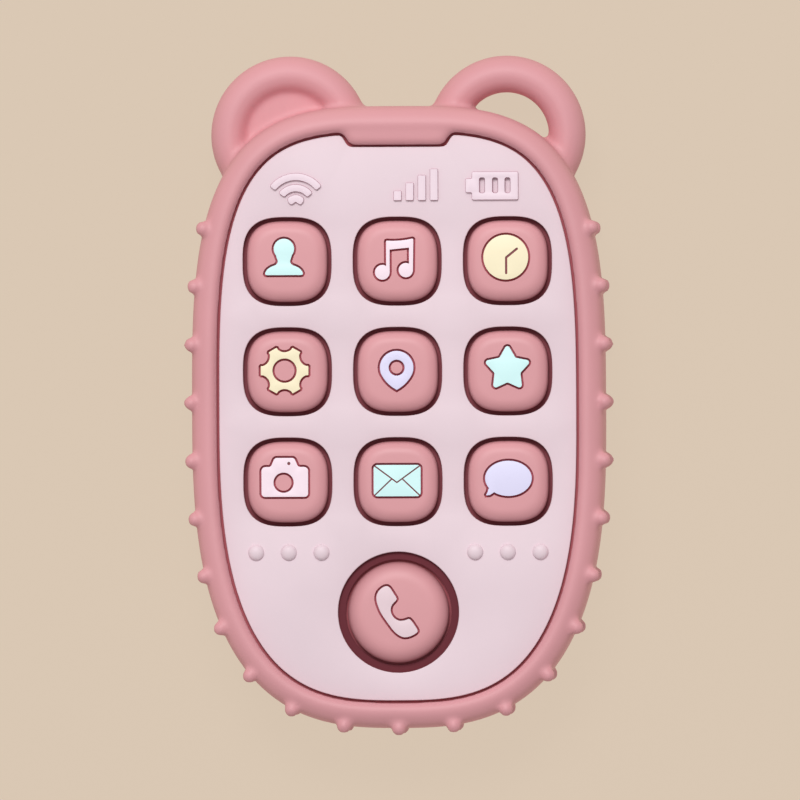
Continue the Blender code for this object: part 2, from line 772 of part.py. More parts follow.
def make_key(name, at, outline, flange, rim, cavity, rose, inlay, rubber, phone):
    """A key cap with its inlaid picture, on an empty at its joint, and the rubber dome under it."""
    joint = empty(f"key_{name}_joint", (*at, FACE), phone)
    drop = (0, 0, -FACE)
    outer, holes = PICTURES[name]()
    top = rim[-1][1]
    floor = top - INLAY_DEEP

    def pocket(bm):
        loops = [grow(outer, INLAY_GAP)] + [grow(hole, -INLAY_GAP) for hole in holes]
        prism(bm, loops, floor, top + 1)

    def underside(bm):
        prism(bm, [circle(cavity, 12), circle(POST_RADIUS, 8)], FLANGE_LOW - 1, floor - 1.1)

    def picture(bm):
        prism(bm, [outer] + holes, floor + GAP, top + 0.05)

    def dome(bm):
        turned(bm, [(DOME_RADIUS, BOARD_TOP + GAP), (DOME_RADIUS, BOARD_TOP + 0.8), (2.3, DOME_TOP)], 8)

    key = solid(f"key_{name}", lambda bm: key_body(bm, outline, flange, rim), rose, joint, drop)
    shape_with(key, "DIFFERENCE", "pocket", pocket, drop)
    shape_with(key, "DIFFERENCE", "underside", underside, drop)
    solid(f"icon_{name}", picture, inlay, joint, drop)
    solid(f"dome_{name}", dome, rubber, phone, (*at, 0))


def make_keys(phone, rose, inlays, rubber):
    rim = [(KEY_HALF, 23.2), (KEY_HALF - 0.45, 24.3), (KEY_HALF - 1.5, KEY_TOP)]
    for name, at in key_places().items():
        make_key(name, at, squircle, FLANGE_HALF, rim, KEY_CAVITY, rose, inlays[name], rubber, phone)

    def disc(half):
        return circle(half, 24)

    rim = [(CALL_RADIUS, 22.9), (CALL_RADIUS - 0.4, 23.9), (CALL_RADIUS - 1.5, 24.7)]
    rim.append((CALL_RADIUS - 3.4, CALL_TOP))
    make_key("call", (0, CALL_Y), disc, CALL_FLANGE, rim, CALL_CAVITY, rose, inlays["call"], rubber, phone)


def make_keypad_sheet(phone, rubber):
    width, height, radius = BOARD_SIZE
    holes = [circle(DOME_HOLE, 8, x, y) for x, y in key_places().values()]
    holes.append(circle(DOME_HOLE, 8, 0, CALL_Y))
    holes += [circle(PILLAR_HOLE, 10, x, y) for x, y in CASE_SCREWS[2:]]
    holes += [box_outline(4.4, 3.8, 0.6, x, LAMP_Y, 1) for x in (-KEY_PITCH / 2, KEY_PITCH / 2)]
    edge = box_outline(width - 2, height - 2, radius - 1, 0, BOARD_Y)
    low = BOARD_TOP + GAP
    solid("keypad_sheet", lambda bm: prism(bm, [edge] + holes, low, low + SHEET_THICK), rubber, phone)


def make_board(phone, board_green, black, lamp):
    """The circuit board with its sound chip and two lamps."""
    width, height, radius = BOARD_SIZE
    edge = box_outline(width, height, radius, 0, BOARD_Y)
    holes = [circle(PILLAR_HOLE, 10, x, y) for x, y in CASE_SCREWS[2:]]
    solid("circuit_board", lambda bm: prism(bm, [edge] + holes, BOARD_LOW, BOARD_TOP), board_green, phone)
    blob = [(2.8, BOARD_LOW - 1.9), (4.6, BOARD_LOW - 1.1), (5.0, BOARD_LOW - GAP)]
    solid("sound_chip", lambda bm: turned(bm, blob, 14), black, phone, (24, 12, 0))
    low = BOARD_TOP + GAP

    def lens(bm):
        box(bm, (-1.7, -1.4, low), (1.7, 1.4, low + 1.2))

    solid("lamp_left", lens, lamp, phone, (-KEY_PITCH / 2, LAMP_Y, 0))
    solid("lamp_right", lens, lamp, phone, (KEY_PITCH / 2, LAMP_Y, 0))


def make_speaker(phone, steel, black, tin):
    """The speaker, facing the back, about its own axis."""
    at = (0, SPEAKER_Y, 0)
    r = SPEAKER_RADIUS
    basket = [(r, 3.2), (r, 4.4), (r - 3, 7.0), (r - 5.5, 7.4)]
    room = [(r - 1.4, 3.0), (r - 1.4, 4.2), (r - 4.4, 6.7)]
    cone = [(r - 1.8, 3.3), (r - 1.8, 3.7), (5.2, 5.6), (5.0, 5.9)]
    dish = [(r - 2.9, 3.0), (4.6, 5.1), (3.6, 5.2)]
    magnet = [(7.6, 7.7), (8.0, 8.0), (8.0, 11.2), (7.6, 11.5)]
    frame = solid("speaker_frame", lambda bm: turned(bm, basket, 24), steel, phone, at)
    shape_with(frame, "DIFFERENCE", "room", lambda bm: turned(bm, room, 24), at)
    paper = solid("speaker_cone", lambda bm: turned(bm, cone, 24), black, phone, at)
    shape_with(paper, "DIFFERENCE", "dish", lambda bm: turned(bm, dish, 24), at)
    solid("speaker_magnet", lambda bm: turned(bm, magnet, 20), tin, phone, at)


def make_switch(phone, black, tin):
    """The power switch: a knob that slides across the back, and its metal case."""

    def knob(bm):
        loft(bm, [(box_outline(w, h, 0.5, 0, 0, 2), z) for w, h, z in KNOB_LEVELS])

    joint = empty("switch_joint", (-SWITCH_TRAVEL / 2, SWITCH_Y, BACK_FACE), phone)
    solid("switch_knob", knob, black, joint, (0, 0, -BACK_FACE))
    solid("switch_body", lambda bm: box(bm, (-6.5, -3.4, 5.3), (6.5, 3.4, 9.6)), tin, phone, (0, SWITCH_Y, 0))


def cell_profile():
    """A small battery's (radius, distance from its flat end)."""
    body = CELL_LENGTH - 0.9
    return [
        (CELL_RADIUS - 0.4, 0),
        (CELL_RADIUS, 0.4),
        (CELL_RADIUS, body - 0.5),
        (CELL_RADIUS - 0.5, body),
        (1.9, body),
        (1.8, CELL_LENGTH),
    ]


def coil(length, wide, narrow, turns=4, steps=10):
    """A conical spring's centreline along +X."""
    route = []
    count = turns * steps
    for i in range(count + 1):
        share = i / count
        angle = 2 * math.pi * turns * share
        radius = wide + (narrow - wide) * share
        route.append((length * share, radius * math.cos(angle), radius * math.sin(angle)))
    return route


def make_batteries(phone, foil, steel):
    plate_at = BAY_SIZE[0] / 2 - GAP - CONTACT_THICK
    tip = plate_at - GAP
    flat_end = CELL_LENGTH - tip
    spring_wire = 0.5
    first = plate_at - GAP - spring_wire / 2 - 0.05  # where each spring starts, beside its plate
    room = first - flat_end - GAP - spring_wire / 2 - 0.05
    for side, cell_word, spring_word in ((1, "upper", "minus"), (-1, "lower", "bridge")):
        y = BAY_Y + side * CELL_OFFSET
        cell = solid(f"battery_{cell_word}", lambda bm: turned(bm, cell_profile(), 16), foil, phone)
        # The upper cell's nub points to -X and the lower one's to +X.
        cell.rotation_euler = (0, -side * math.pi / 2, 0)
        cell.location = Vector((side * flat_end, y, CELL_Z)) * MM
        route = [(side * (first - x), y + dy, CELL_Z + dz) for x, dy, dz in coil(room, 3.4, 2.0)]
        wire(f"spring_{spring_word}", route, spring_wire, steel, phone, 0)

    low, high = CELL_Z - 4.3, CELL_Z + 4.3

    def bridge(bm):
        box(bm, (-plate_at - CONTACT_THICK, BAY_Y - 10.2, low), (-plate_at, BAY_Y + 10.2, high))

    solid("contact_bridge", bridge, steel, phone)
    for side, word in ((1, "minus"), (-1, "plus")):
        y = BAY_Y + side * CELL_OFFSET

        def plate(bm):
            foot = [(y - 4.2, high), (y - 4.2, low), (y + 4.2, low), (y + 4.2, high)]
            tail = [(y + 1.2, high), (y + 1.2, BAY_ROOF + 1.1), (y - 1.2, BAY_ROOF + 1.1), (y - 1.2, high)]
            prism(bm, [foot + tail], plate_at, plate_at + CONTACT_THICK)
            # The outline was drawn as (Y, Z) and pulled up X, so its axes are passed round once.
            turn = Matrix(((0, 0, 1, 0), (1, 0, 0, 0), (0, 1, 0, 0), (0, 0, 0, 1)))
            bmesh.ops.transform(bm, matrix=turn, verts=bm.verts[:])

        solid(f"contact_{word}", plate, steel, phone)


def make_wires(phone, red, black):
    top = BOARD_LOW - GAP - 0.1
    for x, colour, word in ((-2.2, red, "red"), (2.2, black, "black")):
        below = SPEAKER_Y - 13.4
        route = [(x, below + 2.0, 7.9), (x, below + 0.4, 9.5), (x * 2, below, 12.5), (x * 2, below, top)]
        wire(f"speaker_wire_{word}", through(route), WIRE, colour, phone)
        below = SWITCH_Y - 1.5
        route = [(x, SWITCH_Y, 10.5), (x, SWITCH_Y, 11.8), (x * 1.8, below, 13.2), (x * 1.8, below, top)]
        wire(f"switch_wire_{word}", through(route), WIRE, colour, phone)


def main():
    clear_scene()
    silicone = plastic("sleeve silicone", (0.78, 0.36, 0.38), 0.6)
    rose = plastic("rose plastic", (0.74, 0.33, 0.35), 0.45)
    pale = plastic("pale plastic", (0.82, 0.65, 0.70), 0.4)
    rubber = plastic("keypad rubber", (0.16, 0.03, 0.04), 0.7)
    mint = plastic("mint inlay", (0.66, 0.98, 0.98), 0.35)
    cream = plastic("cream inlay", (0.98, 0.87, 0.6), 0.35)
    lilac = plastic("lilac inlay", (0.75, 0.71, 0.98), 0.35)
    blush = plastic("blush inlay", (0.96, 0.78, 0.86), 0.35)
    steel = plastic("steel", (0.6, 0.6, 0.6), 0.35, 1.0)
    tin = plastic("plated tin", (0.7, 0.7, 0.72), 0.45, 1.0)
    board_green = plastic("board", (0.05, 0.22, 0.1), 0.5)
    black = plastic("black plastic", (0.02, 0.02, 0.02), 0.5)
    red = plastic("red wire", (0.6, 0.03, 0.03), 0.5)
    lamp = plastic("lamp", (0.95, 0.93, 0.8), 0.3)
    foil = plastic("cell wrap", (0.1, 0.3, 0.32), 0.4)
    inlays = {"person": mint, "star": mint, "mail": mint, "clock": cream, "gear": cream}
    inlays |= {"pin": lilac, "chat": lilac, "music": blush, "camera": blush, "call": blush}

    phone = empty("phone", (0, BODY_Y, 0))
    make_sleeve(phone, silicone)
    make_front_cover(phone, pale)
    make_rear_cover(phone, pale)
    make_battery_door(phone, pale, steel)
    for number, at in enumerate(CASE_SCREWS, 1):
        make_screw(f"case_screw_{number}", steel, phone, (*at, 3.6), 0.95, 12.0)
    make_keys(phone, rose, inlays, rubber)
    make_keypad_sheet(phone, rubber)
    make_board(phone, board_green, black, lamp)
    make_speaker(phone, steel, black, tin)
    make_switch(phone, black, tin)
    make_batteries(phone, foil, steel)
    make_wires(phone, red, black)


main()
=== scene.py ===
"""The toy cell phone's finished look: silicone sleeve, smooth keys with inlaid pictures, and every finish.

Shapes are drawn in millimetres from the middle of the phone's widest line, and put into the frame, in
metres, when they are done.
"""

import json
import math

import bmesh
import bpy
from mathutils import Matrix, Vector


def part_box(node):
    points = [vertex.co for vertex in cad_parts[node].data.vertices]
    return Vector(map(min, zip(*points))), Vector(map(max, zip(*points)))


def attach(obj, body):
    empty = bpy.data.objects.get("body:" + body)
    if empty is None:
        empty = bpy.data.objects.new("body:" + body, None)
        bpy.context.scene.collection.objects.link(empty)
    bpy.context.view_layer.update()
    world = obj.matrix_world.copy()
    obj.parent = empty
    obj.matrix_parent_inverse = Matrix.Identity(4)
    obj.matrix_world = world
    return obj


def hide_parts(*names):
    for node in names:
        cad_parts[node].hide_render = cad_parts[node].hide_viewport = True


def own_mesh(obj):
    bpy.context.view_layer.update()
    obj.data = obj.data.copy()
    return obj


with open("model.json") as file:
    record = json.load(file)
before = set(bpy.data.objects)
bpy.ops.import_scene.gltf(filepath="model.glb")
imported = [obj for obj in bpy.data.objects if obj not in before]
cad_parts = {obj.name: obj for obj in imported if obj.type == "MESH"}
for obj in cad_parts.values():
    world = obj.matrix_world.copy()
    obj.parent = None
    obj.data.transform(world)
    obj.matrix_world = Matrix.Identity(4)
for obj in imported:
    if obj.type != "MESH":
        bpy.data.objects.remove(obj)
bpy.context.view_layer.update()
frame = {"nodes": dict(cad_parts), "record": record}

MM = 0.001
PAST = 1.0  # how far a cutting tool stands out of what it cuts, in millimetres

# The case's size and place come from the frame. Drawings start from its widest line.
CASE_LOW, CASE_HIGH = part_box("front_cover")
CASE_INSET = 3.3  # how far the case lies inside the sleeve's outline
BODY_TOP = 67.0  # how far the sleeve's outline reaches above its widest line
BODY_LOW = (CASE_HIGH.y - CASE_LOW.y) / MM + 2 * CASE_INSET - BODY_TOP
HALF_WIDTH = (CASE_HIGH.x - CASE_LOW.x) / 2 / MM + CASE_INSET
MIDDLE = Vector(((CASE_LOW.x + CASE_HIGH.x) / 2, CASE_HIGH.y - (BODY_TOP - CASE_INSET) * MM))
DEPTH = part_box("silicone_sleeve")[1].z / MM
SEAM = 0.3  # the gap between the two halves of the case
SPLIT_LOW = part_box("rear_cover")[1].z / MM + SEAM
BACK_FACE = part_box("rear_cover")[0].z / MM
TOP_POWER = 3.35  # how square the outline is above its widest line, and below it
BOTTOM_POWER = 2.79
OUTLINE_STEPS = 240

# The sleeve
WALL = 3.0
BACK_LIP = 2.2
LIP_REACH = 5.6  # how far the front lip reaches in over the face
LIP_UNDER = 21.8
TAB_HALF = 10.3
TAB_SHOULDER = 11.8
TAB_CLEAR = 0.7  # from the tab's shoulder to where the rim's own edge starts
TAB_SLANT = 0.8  # how much of an inset the tab's slanted sides take
TAB_LOW = 58.5
TAB_TOP = 63.2  # where the tab runs into the crest of the rim
EAR_X = 23.6
EAR_Y = 60.75
EAR_RADIUS = 13.2
EAR_TUBE = 4.05
EAR_HALF_DEPTH = 5.0
EAR_WEB = 3.6  # how thick the wall is that closes the left ear
EAR_ROOT = 0.4  # how far short of the wall's inner face an ear ends
WEB_INSET = 0.7
CUT_LOW, CUT_HIGH = -5.0, 35.0  # heights past both ends of the sleeve
BUMP_RADIUS = 1.66
BUMP_PITCHES = (11.9,) * 5 + (12.68,) * 6  # up one side, from the bump in the middle of the bottom
BUMP_HEIGHT = 22.9
BUMP_SEARCH = 1440  # how finely the outline is walked to place them
SLEEVE_GRID = 0.58  # the size of the sleeve's finished mesh
SLEEVE_SMOOTHING = 3

# The face, whose front cover also has a seat under the sleeve's lip
SEAT = 21.5
SEAT_REACH = 1.2
FACE = 22.5
FACE_EDGE = 0.25
SHADE_PAINTED_BELOW = 0.2  # how far under the face the sides of its holes take painted shade
PLATE_UNDER = 20.7
CASE_WALL = 1.8
CASE_ROUND = 0.8
TAB_SEAT_WIDER = 1.3
TAB_SEAT_LOWER = 0.08  # so that it shares no plane with the rest of the seat
FACE_GAP = 0.48
TAB_GAP = 0.45
HOLE_HALF = 9.65
CALL_HOLE = 13.15
CALL_WELL = 11.5
CALL_LEDGE = 21.5
LEDGE_ROOT = 0.4

# The raised signs on the face
SIGN_HEIGHT = 0.65
SIGN_ROOT = 0.2
SIGN_SPREAD = 0.14  # how much wider a sign is at its foot
SIGN_EDGE = 0.1
FAN = (-22.0, 45.35)
BAR_HEIGHTS = (1.95, 3.7, 5.35, 6.7)
BARS_LEFT = 0.14
BARS_FOOT = 46.45
BAR_PITCH = 2.64
BAR_WIDTH = 1.6
SLOTS_X = (18.5, 21.35, 24.05)  # the battery sign's slots
SLOTS_Y = 49.6
SLOT_DEEP = 0.5
DOTS_X = (16.7, 23.8, 30.9)
DOTS_Y = -30.0

# The keys. A shoulder's power is how square it is.
KEYS = ("person", "music", "clock", "gear", "pin", "star", "camera", "mail", "chat", "call")
KEY_HALF = 8.8
KEY_POWER = 2.9  # how square its plan is
KEY_TOP = 25.0
KEY_LOW = 19.4
KEY_SHOULDER = 21.8
KEY_SHOULDER_WIDE = 2.9
KEY_SHOULDER_POWER = 2.15
KEY_HOLLOW = 7.8
KEY_PAINTED_SHADE_TOP = 24.0  # up to where painted shade darkens its foot
FLANGE_HALF = 10.8
FLANGE_TOP = 20.4
FLANGE_EDGE = 0.1
CALL_RADIUS = 10.97
CALL_FLANGE = 12.8
CALL_TOP = 25.2
CALL_SHOULDER = 21.9
CALL_SHOULDER_WIDE = 4.3
CALL_SHOULDER_POWER = 2.0
CALL_HOLLOW = 9.0
# up to where painted shade darkens the call key's foot
CALL_PAINTED_SHADE_TOP = 24.9
CROWN = 0.12  # how much a key's top swells
SHOULDER_STEPS = 12
POST_RADIUS = 2.2
GROOVE = 0.46
INLAY_DEEP = 1.1
INLAY_LIFT = 0.3  # the gap under a picture
INLAY_PROUD = 0.02
INLAY_EDGE = 0.13
HAND_WIDTH = 0.5
FOLD_WIDTH = 0.3
FOLD_DEEP = 0.25


def middle_of(node):
    """A CAD node's middle in plan, from the middle of the drawings, in millimetres."""
    low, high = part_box(node)
    return ((low.x + high.x) / 2 - MIDDLE.x) / MM, ((low.y + high.y) / 2 - MIDDLE.y) / MM


# The back, whose screws, speaker and switch have their places from the frame
CASE_SCREWS = [middle_of(f"case_screw_{number}") for number in (1, 2, 3, 4)]
DOOR_SCREW = middle_of("battery_door_screw")
SPEAKER = middle_of("speaker_cone")
SPEAKER_RINGS = ((4, 4.0), (8, 8.0))  # how many holes, at what radius
SWITCH_Y = middle_of("switch_knob")[1]
DOOR_TOP = 13.5  # the door's upper and lower edges, from the battery bay's middle
DOOR_LOW = -13.5
DOOR_THICK = 1.5
DOOR_GAP = 0.3
DOOR_SEAT = (30.2, 15.2)
BAY_Y = (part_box("battery_door")[1].y - MIDDLE.y) / MM - DOOR_TOP
BAY_SIZE = (52.4, 22.6)
BAY_WALL = 1.2
TERMINAL_Y = 5.55  # from the bay's middle to where the contacts pass its end wall
TERMINAL_HALF = 1.8
FINGER_RIBS = 7
SHANK = 0.95
THREAD = 0.6
THREAD_DEEP = 0.22

# The room, in metres
CARD_TINT = (218, 200, 180)
CARD_GLOW = 0.94
CARD_SHADE = 0.06  # how much of the card's colour takes shadows
CARD_HALF = 3.0
SKY_TINT = (1.0, 0.985, 0.98, 1)
SKY_STRENGTH = 0.46
LIGHT_PLACE = (-0.16, 0.88, 1.5)
LIGHT_SIZE = (0.8, 0.6)
LIGHT_POWER = 19.0
VIEW_WIDTH = 0.1742
SENSOR = 36
CAMERA_FAR = 20
CAMERA_DISTANCE = 4.0
CAMERA_TARGET = (0.00013, MIDDLE.y + 0.00305, DEPTH / 2 * MM)
CAMERA_LEAN = math.radians(2.1)  # to the right of straight above
CAMERA_ROLL = math.radians(-0.215)


# ---------------------------------------------------------------- outlines


def arc(x, y, radius, start, end, radius_y=None, step=7):
    """Points along a circle or an ellipse, from one angle to another in degrees."""
    steps = max(2, round(abs(end - start) / step))
    points = []
    for i in range(steps + 1):
        angle = math.radians(start + (end - start) * i / steps)
        points.append((x + radius * math.cos(angle), y + (radius_y or radius) * math.sin(angle)))
    return points


def circle(radius, x=0.0, y=0.0, step=7):
    return arc(x, y, radius, 0, 360, step=step)[:-1]


def disc(radius):
    """The plan of the call key."""
    return circle(radius, step=3.75)


def rounded(corners, step=12):
    """A closed outline through corners given as (x, y, radius), each one rounded by an arc."""
    points = []
    for i, (x, y, radius) in enumerate(corners):
        here = Vector((x, y))
        before = (Vector(corners[i - 1][:2]) - here).normalized()
        after = (Vector(corners[(i + 1) % len(corners)][:2]) - here).normalized()
        half = before.angle(after) / 2
        centre = here + (before + after).normalized() * (radius / math.sin(half))
        first = (here + before * (radius / math.tan(half)) - centre).normalized()
        last = (here + after * (radius / math.tan(half)) - centre).normalized()
        steps = max(2, round(math.degrees(first.angle(last)) / step))
        for j in range(steps + 1):
            points.append(tuple(centre + first.slerp(last, j / steps) * radius))
    return points


def box_outline(width, height, radius, x=0.0, y=0.0):
    w, h = width / 2, height / 2
    corners = ((-w, -h), (w, -h), (w, h), (-w, h))
    return rounded([(x + cx, y + cy, radius) for cx, cy in corners])


def bow(start, end, rise, steps=8):
    """Points between two ends, without the ends, on a curve that stands off the straight line by rise."""
    a, b = Vector(start), Vector(end)
    side = Vector(((b - a).y, -(b - a).x)).normalized()
    shares = [i / steps for i in range(1, steps)]
    return [tuple(a.lerp(b, s) + side * rise * 4 * s * (1 - s)) for s in shares]


def grow(points, distance):
    """The outline moved outwards, or inwards where distance is below 0. Points run anticlockwise."""
    grown = []
    for i, point in enumerate(points):
        here = Vector(point)
        into = (here - Vector(points[i - 1])).normalized()
        out = (Vector(points[(i + 1) % len(points)]) - here).normalized()
        a, b = Vector((into.y, -into.x)), Vector((out.y, -out.x))
        grown.append(tuple(here + (a + b) * (distance / (1 + a.dot(b)))))
    return grown


def moved(points, x, y):
    return [(px + x, py + y) for px, py in points]


def smooth(points, steps=5):
    """A smooth closed curve through points."""
    curve = []
    count = len(points)
    for i in range(count):
        a, b, c, d = (Vector(points[(i + j) % count]) for j in (-1, 0, 1, 2))
        bend, twist = 2 * a - 5 * b + 4 * c - d, 3 * b - a - 3 * c + d
        for j in range(steps):
            t = j / steps
            curve.append(tuple((2 * b + (c - a) * t + bend * t**2 + twist * t**3) / 2))
    return curve


def band(x, y, outer, inner, start, end, corner):
    """A curved band between two radii and two angles, with rounded corners."""
    points = []
    outside, inside = outer - corner, inner + corner
    slack_out, slack_in = math.degrees(corner / outside), math.degrees(corner / inside)
    corners = ((outside, end - slack_out, 0), (inside, end - slack_in, 90))
    corners += ((inside, start + slack_in, 180), (outside, start + slack_out, 270))
    for i, (radius, turn, first) in enumerate(corners):
        at = math.radians(turn)
        centre = (x + radius * math.cos(at), y + radius * math.sin(at))
        points += arc(*centre, corner, turn + first, turn + first + 90, step=22)
        if i == 1:
            points += arc(x, y, inner, end - slack_in, start + slack_in, step=5)[1:-1]
    return points + arc(x, y, outer, start + slack_out, end - slack_out, step=5)[1:-1]


def squircle(half, steps=96):
    """A square whose sides swell into its corners."""
    points = []
    for i in range(steps):
        c, s = math.cos(2 * math.pi * i / steps), math.sin(2 * math.pi * i / steps)
        radius = half / (abs(c) ** KEY_POWER + abs(s) ** KEY_POWER) ** (1 / KEY_POWER)
        points.append((radius * c, radius * s))
    return points


def body_outline(inset=0.0, steps=OUTLINE_STEPS):
    """The phone's outline, moved inwards along its normals."""
    a = HALF_WIDTH
    points = []
    for i in range(steps):
        c, s = math.cos(2 * math.pi * i / steps), math.sin(2 * math.pi * i / steps)
        b, n = (BODY_TOP, TOP_POWER) if s > 0 else (BODY_LOW, BOTTOM_POWER)
        radius = ((abs(c) / a) ** n + (abs(s) / b) ** n) ** (-1 / n)
        x, y = radius * c, radius * s
        slope_x = math.copysign((abs(x) / a) ** (n - 1) / a, x)
        slope_y = math.copysign((abs(y) / b) ** (n - 1) / b, y)
        normal = Vector((slope_x, slope_y)).normalized()
        points.append((x - normal.x * inset, y - normal.y * inset))
    return points


def tab_side(low, wide, rise=1.0):
    """The right side of the tab, from its lower edge up to the shoulder where it meets the rim."""
    steps = [(-1.1, 0.0), (-0.45, 0.1), (0.05, 0.4), (0.45, 0.95), (0.85, 1.65), (1.25, 2.2), (1.75, 2.5)]
    return [(wide + x, low + y * rise) for x, y in steps]


def tab_outline(inset=0.0):
    """The tab at the top of the face, as far up as the crest of the rim."""
    low = TAB_LOW + inset
    right = tab_side(low, TAB_HALF - inset * TAB_SLANT, (TAB_TOP - low) / (TAB_TOP - TAB_LOW))
    right.append((right[-1][0] + 0.5, TAB_TOP))
    return right + [(-x, y) for x, y in reversed(right)]


def opening_outline(inset):
    """The edge of the face under the sleeve's front lip and its tab."""
    clear = TAB_SHOULDER + TAB_CLEAR + inset
    edge = [p for p in body_outline(LIP_REACH + inset) if p[1] < 0 or abs(p[0]) > clear]
    split = next(i for i, p in enumerate(edge) if p[0] < 0 and p[1] > 0)
    right = tab_side(TAB_LOW - TAB_GAP, TAB_HALF + inset * TAB_SLANT)[::-1]
    return edge[:split] + right + [(-x, y) for x, y in reversed(right)] + edge[split:]


def bump_spots():
    """Where the bumps stand along the outline, from the middle of the bottom up both sides."""
    fine = body_outline(steps=BUMP_SEARCH)
    lowest = BUMP_SEARCH * 3 // 4
    spots = [fine[lowest]]
    for turn in (1, -1):
        walked, place = 0.0, lowest
        for due in BUMP_PITCHES:
            while walked < due:
                after = (place + turn) % BUMP_SEARCH
                walked += math.dist(fine[place], fine[after])
                place = after
            walked -= due
            spots.append(fine[place])
    return spots


# ---------------------------------------------------------------- the pictures on the keys


def person():
    x = -0.57
    right = [(3.72, -2.94), (3.98, -2.88), (4.1, -2.7)] + arc(1.0, -2.94, 3.15, 10, 72, radius_y=2.2)
    right += [(1.55, -0.5), (1.36, -0.15), (1.34, 0.2), (1.5, 0.62)]
    head = arc(0, 2.75, 2.21, -38, 218)
    left = [(-px, py) for px, py in reversed(right)]
    return [(x + px, y) for px, y in right + head + left], []


def music():
    beam = [(3.6, 4.7), (3.5, 4.83), (3.3, 4.87)] + bow((3.3, 4.87), (-2.1, 4.45), -0.2)
    beam += [(-2.1, 4.45), (-2.27, 4.4), (-2.32, 4.25)]
    left_head = arc(-3.15, -2.42, 1.6, 58.7, 360)
    right_head = arc(1.95, -1.96, 1.55, 63, 360)
    inner = [(-1.55, 2.5), (2.66, 2.93)]
    return beam + left_head + inner + right_head, []


def clock():
    return circle(4.87, -0.28, 0.76), []


def gear():
    teeth, notch_at, notch = 6, 6.21, 2.2
    points = []
    for i in range(teeth):
        turn = Matrix.Rotation(2 * math.pi * i / teeth, 2)
        tip = [(5.06, -1.02), (5.18, -0.9), (5.18, 0.9), (5.06, 1.02)]
        aim = math.pi / teeth
        hollow = arc(notch_at * math.cos(aim), notch_at * math.sin(aim), notch, 252, 168)
        points += [tuple(turn @ Vector(p)) for p in tip + hollow]
    return moved(points, -0.52, 0.26), [circle(2.63, -0.52, 0.26)]


def pin():
    x, y = -0.12, 0.81
    head = arc(x, y, 3.66, -20, 200)
    left, right = head[-1], head[0]
    tip = [(x - 0.22, y - 4.72), (x, y - 4.85), (x + 0.22, y - 4.72)]
    return head + bow(left, tip[0], 0.38) + tip + bow(tip[2], right, 0.38), [circle(1.72, x, y)]


def star():
    corners = []
    for i in range(10):
        radius, turn = ((5.45, 0.55), (2.95, 0.6))[i % 2]
        angle = math.radians(90 + 36 * i)
        corners.append((radius * math.cos(angle), 0.5 + radius * math.sin(angle), turn))
    return rounded(corners), []


def camera():
    corners = [
        (-5.62, -3.19, 0.75),
        (4.5, -3.19, 0.75),
        (4.5, 3.3, 0.9),
        (2.35, 3.3, 0.7),
        (1.5, 5.26, 0.7),
        (-2.75, 5.26, 0.7),
        (-3.6, 3.3, 0.7),
        (-5.62, 3.3, 0.9),
    ]
    return rounded(corners), [circle(2.2, -0.83, -0.11)]


def mail():
    return box_outline(10.2, 6.8, 0.8, -0.1, 0.25), []


def chat():
    bubble = arc(0.12, 0.66, 5.07, -128, 214, radius_y=3.83)
    tail = [(-4.28, -1.75), (-4.4, -2.3), (-4.72, -2.85), (-4.66, -3.02), (-3.9, -2.95)]
    return bubble + tail, []


def handset():
    back = [(-4.3, 4.5), (-4.7, 3.2), (-4.45, 1.7), (-3.65, -0.2), (-2.35, -2.15), (-0.85, -4.1)]
    mouth_end = [(0.5, -5.15), (1.7, -5.4), (3.0, -5.05), (4.05, -4.4), (4.2, -3.85), (3.6, -2.85)]
    mouth_end += [(2.85, -1.8), (2.3, -1.45)]
    grip = [(1.35, -1.75), (0.2, -1.8), (-0.75, -1.3), (-1.4, -0.4), (-1.6, 0.65), (-1.3, 1.65)]
    ear_end = [(-0.45, 2.6), (-0.35, 3.1), (-0.95, 4.1), (-1.7, 5.25), (-2.4, 5.7), (-3.35, 5.4)]
    return smooth(back + mouth_end + grip + ear_end), []


PICTURES = {
    "person": person,
    "music": music,
    "clock": clock,
    "gear": gear,
    "pin": pin,
    "star": star,
    "camera": camera,
    "mail": mail,
    "chat": chat,
    "call": handset,
}


# ---------------------------------------------------------------- solids, in millimetres


def ring(bm, points, z):
    """A closed loop of edges."""
    verts = [bm.verts.new((x, y, z)) for x, y in points]
    return [bm.edges.new(pair) for pair in zip(verts, verts[1:] + verts[:1])]


def bridge(bm, levels):
    """A skin through flat loops, given as (points, z), and its loops.

    The loops are bridged well apart, so that ones at the same height still pair up, and then moved.
    """
    loops = [ring(bm, points, 100 * i) for i, (points, z) in enumerate(levels)]
    for low, high in zip(loops, loops[1:]):
        bmesh.ops.bridge_loops(bm, edges=low + high)
    for loop, (points, z) in zip(loops, levels):
        for vert in {vert for edge in loop for vert in edge.verts}:
            vert.co.z = z
    return loops


def loft(bm, levels):
    """A closed skin through flat loops, with a cap at each end."""
    loops = bridge(bm, levels)
    for loop in (loops[0], loops[-1]):
        bmesh.ops.edgeloop_fill(bm, edges=loop)
    bmesh.ops.recalc_face_normals(bm, faces=bm.faces[:])


def hoop(bm, levels):
    """A closed hollow skin: its last loop is bridged back to its first."""
    loops = bridge(bm, levels)
    bmesh.ops.bridge_loops(bm, edges=loops[0] + loops[-1])
    bmesh.ops.recalc_face_normals(bm, faces=bm.faces[:])


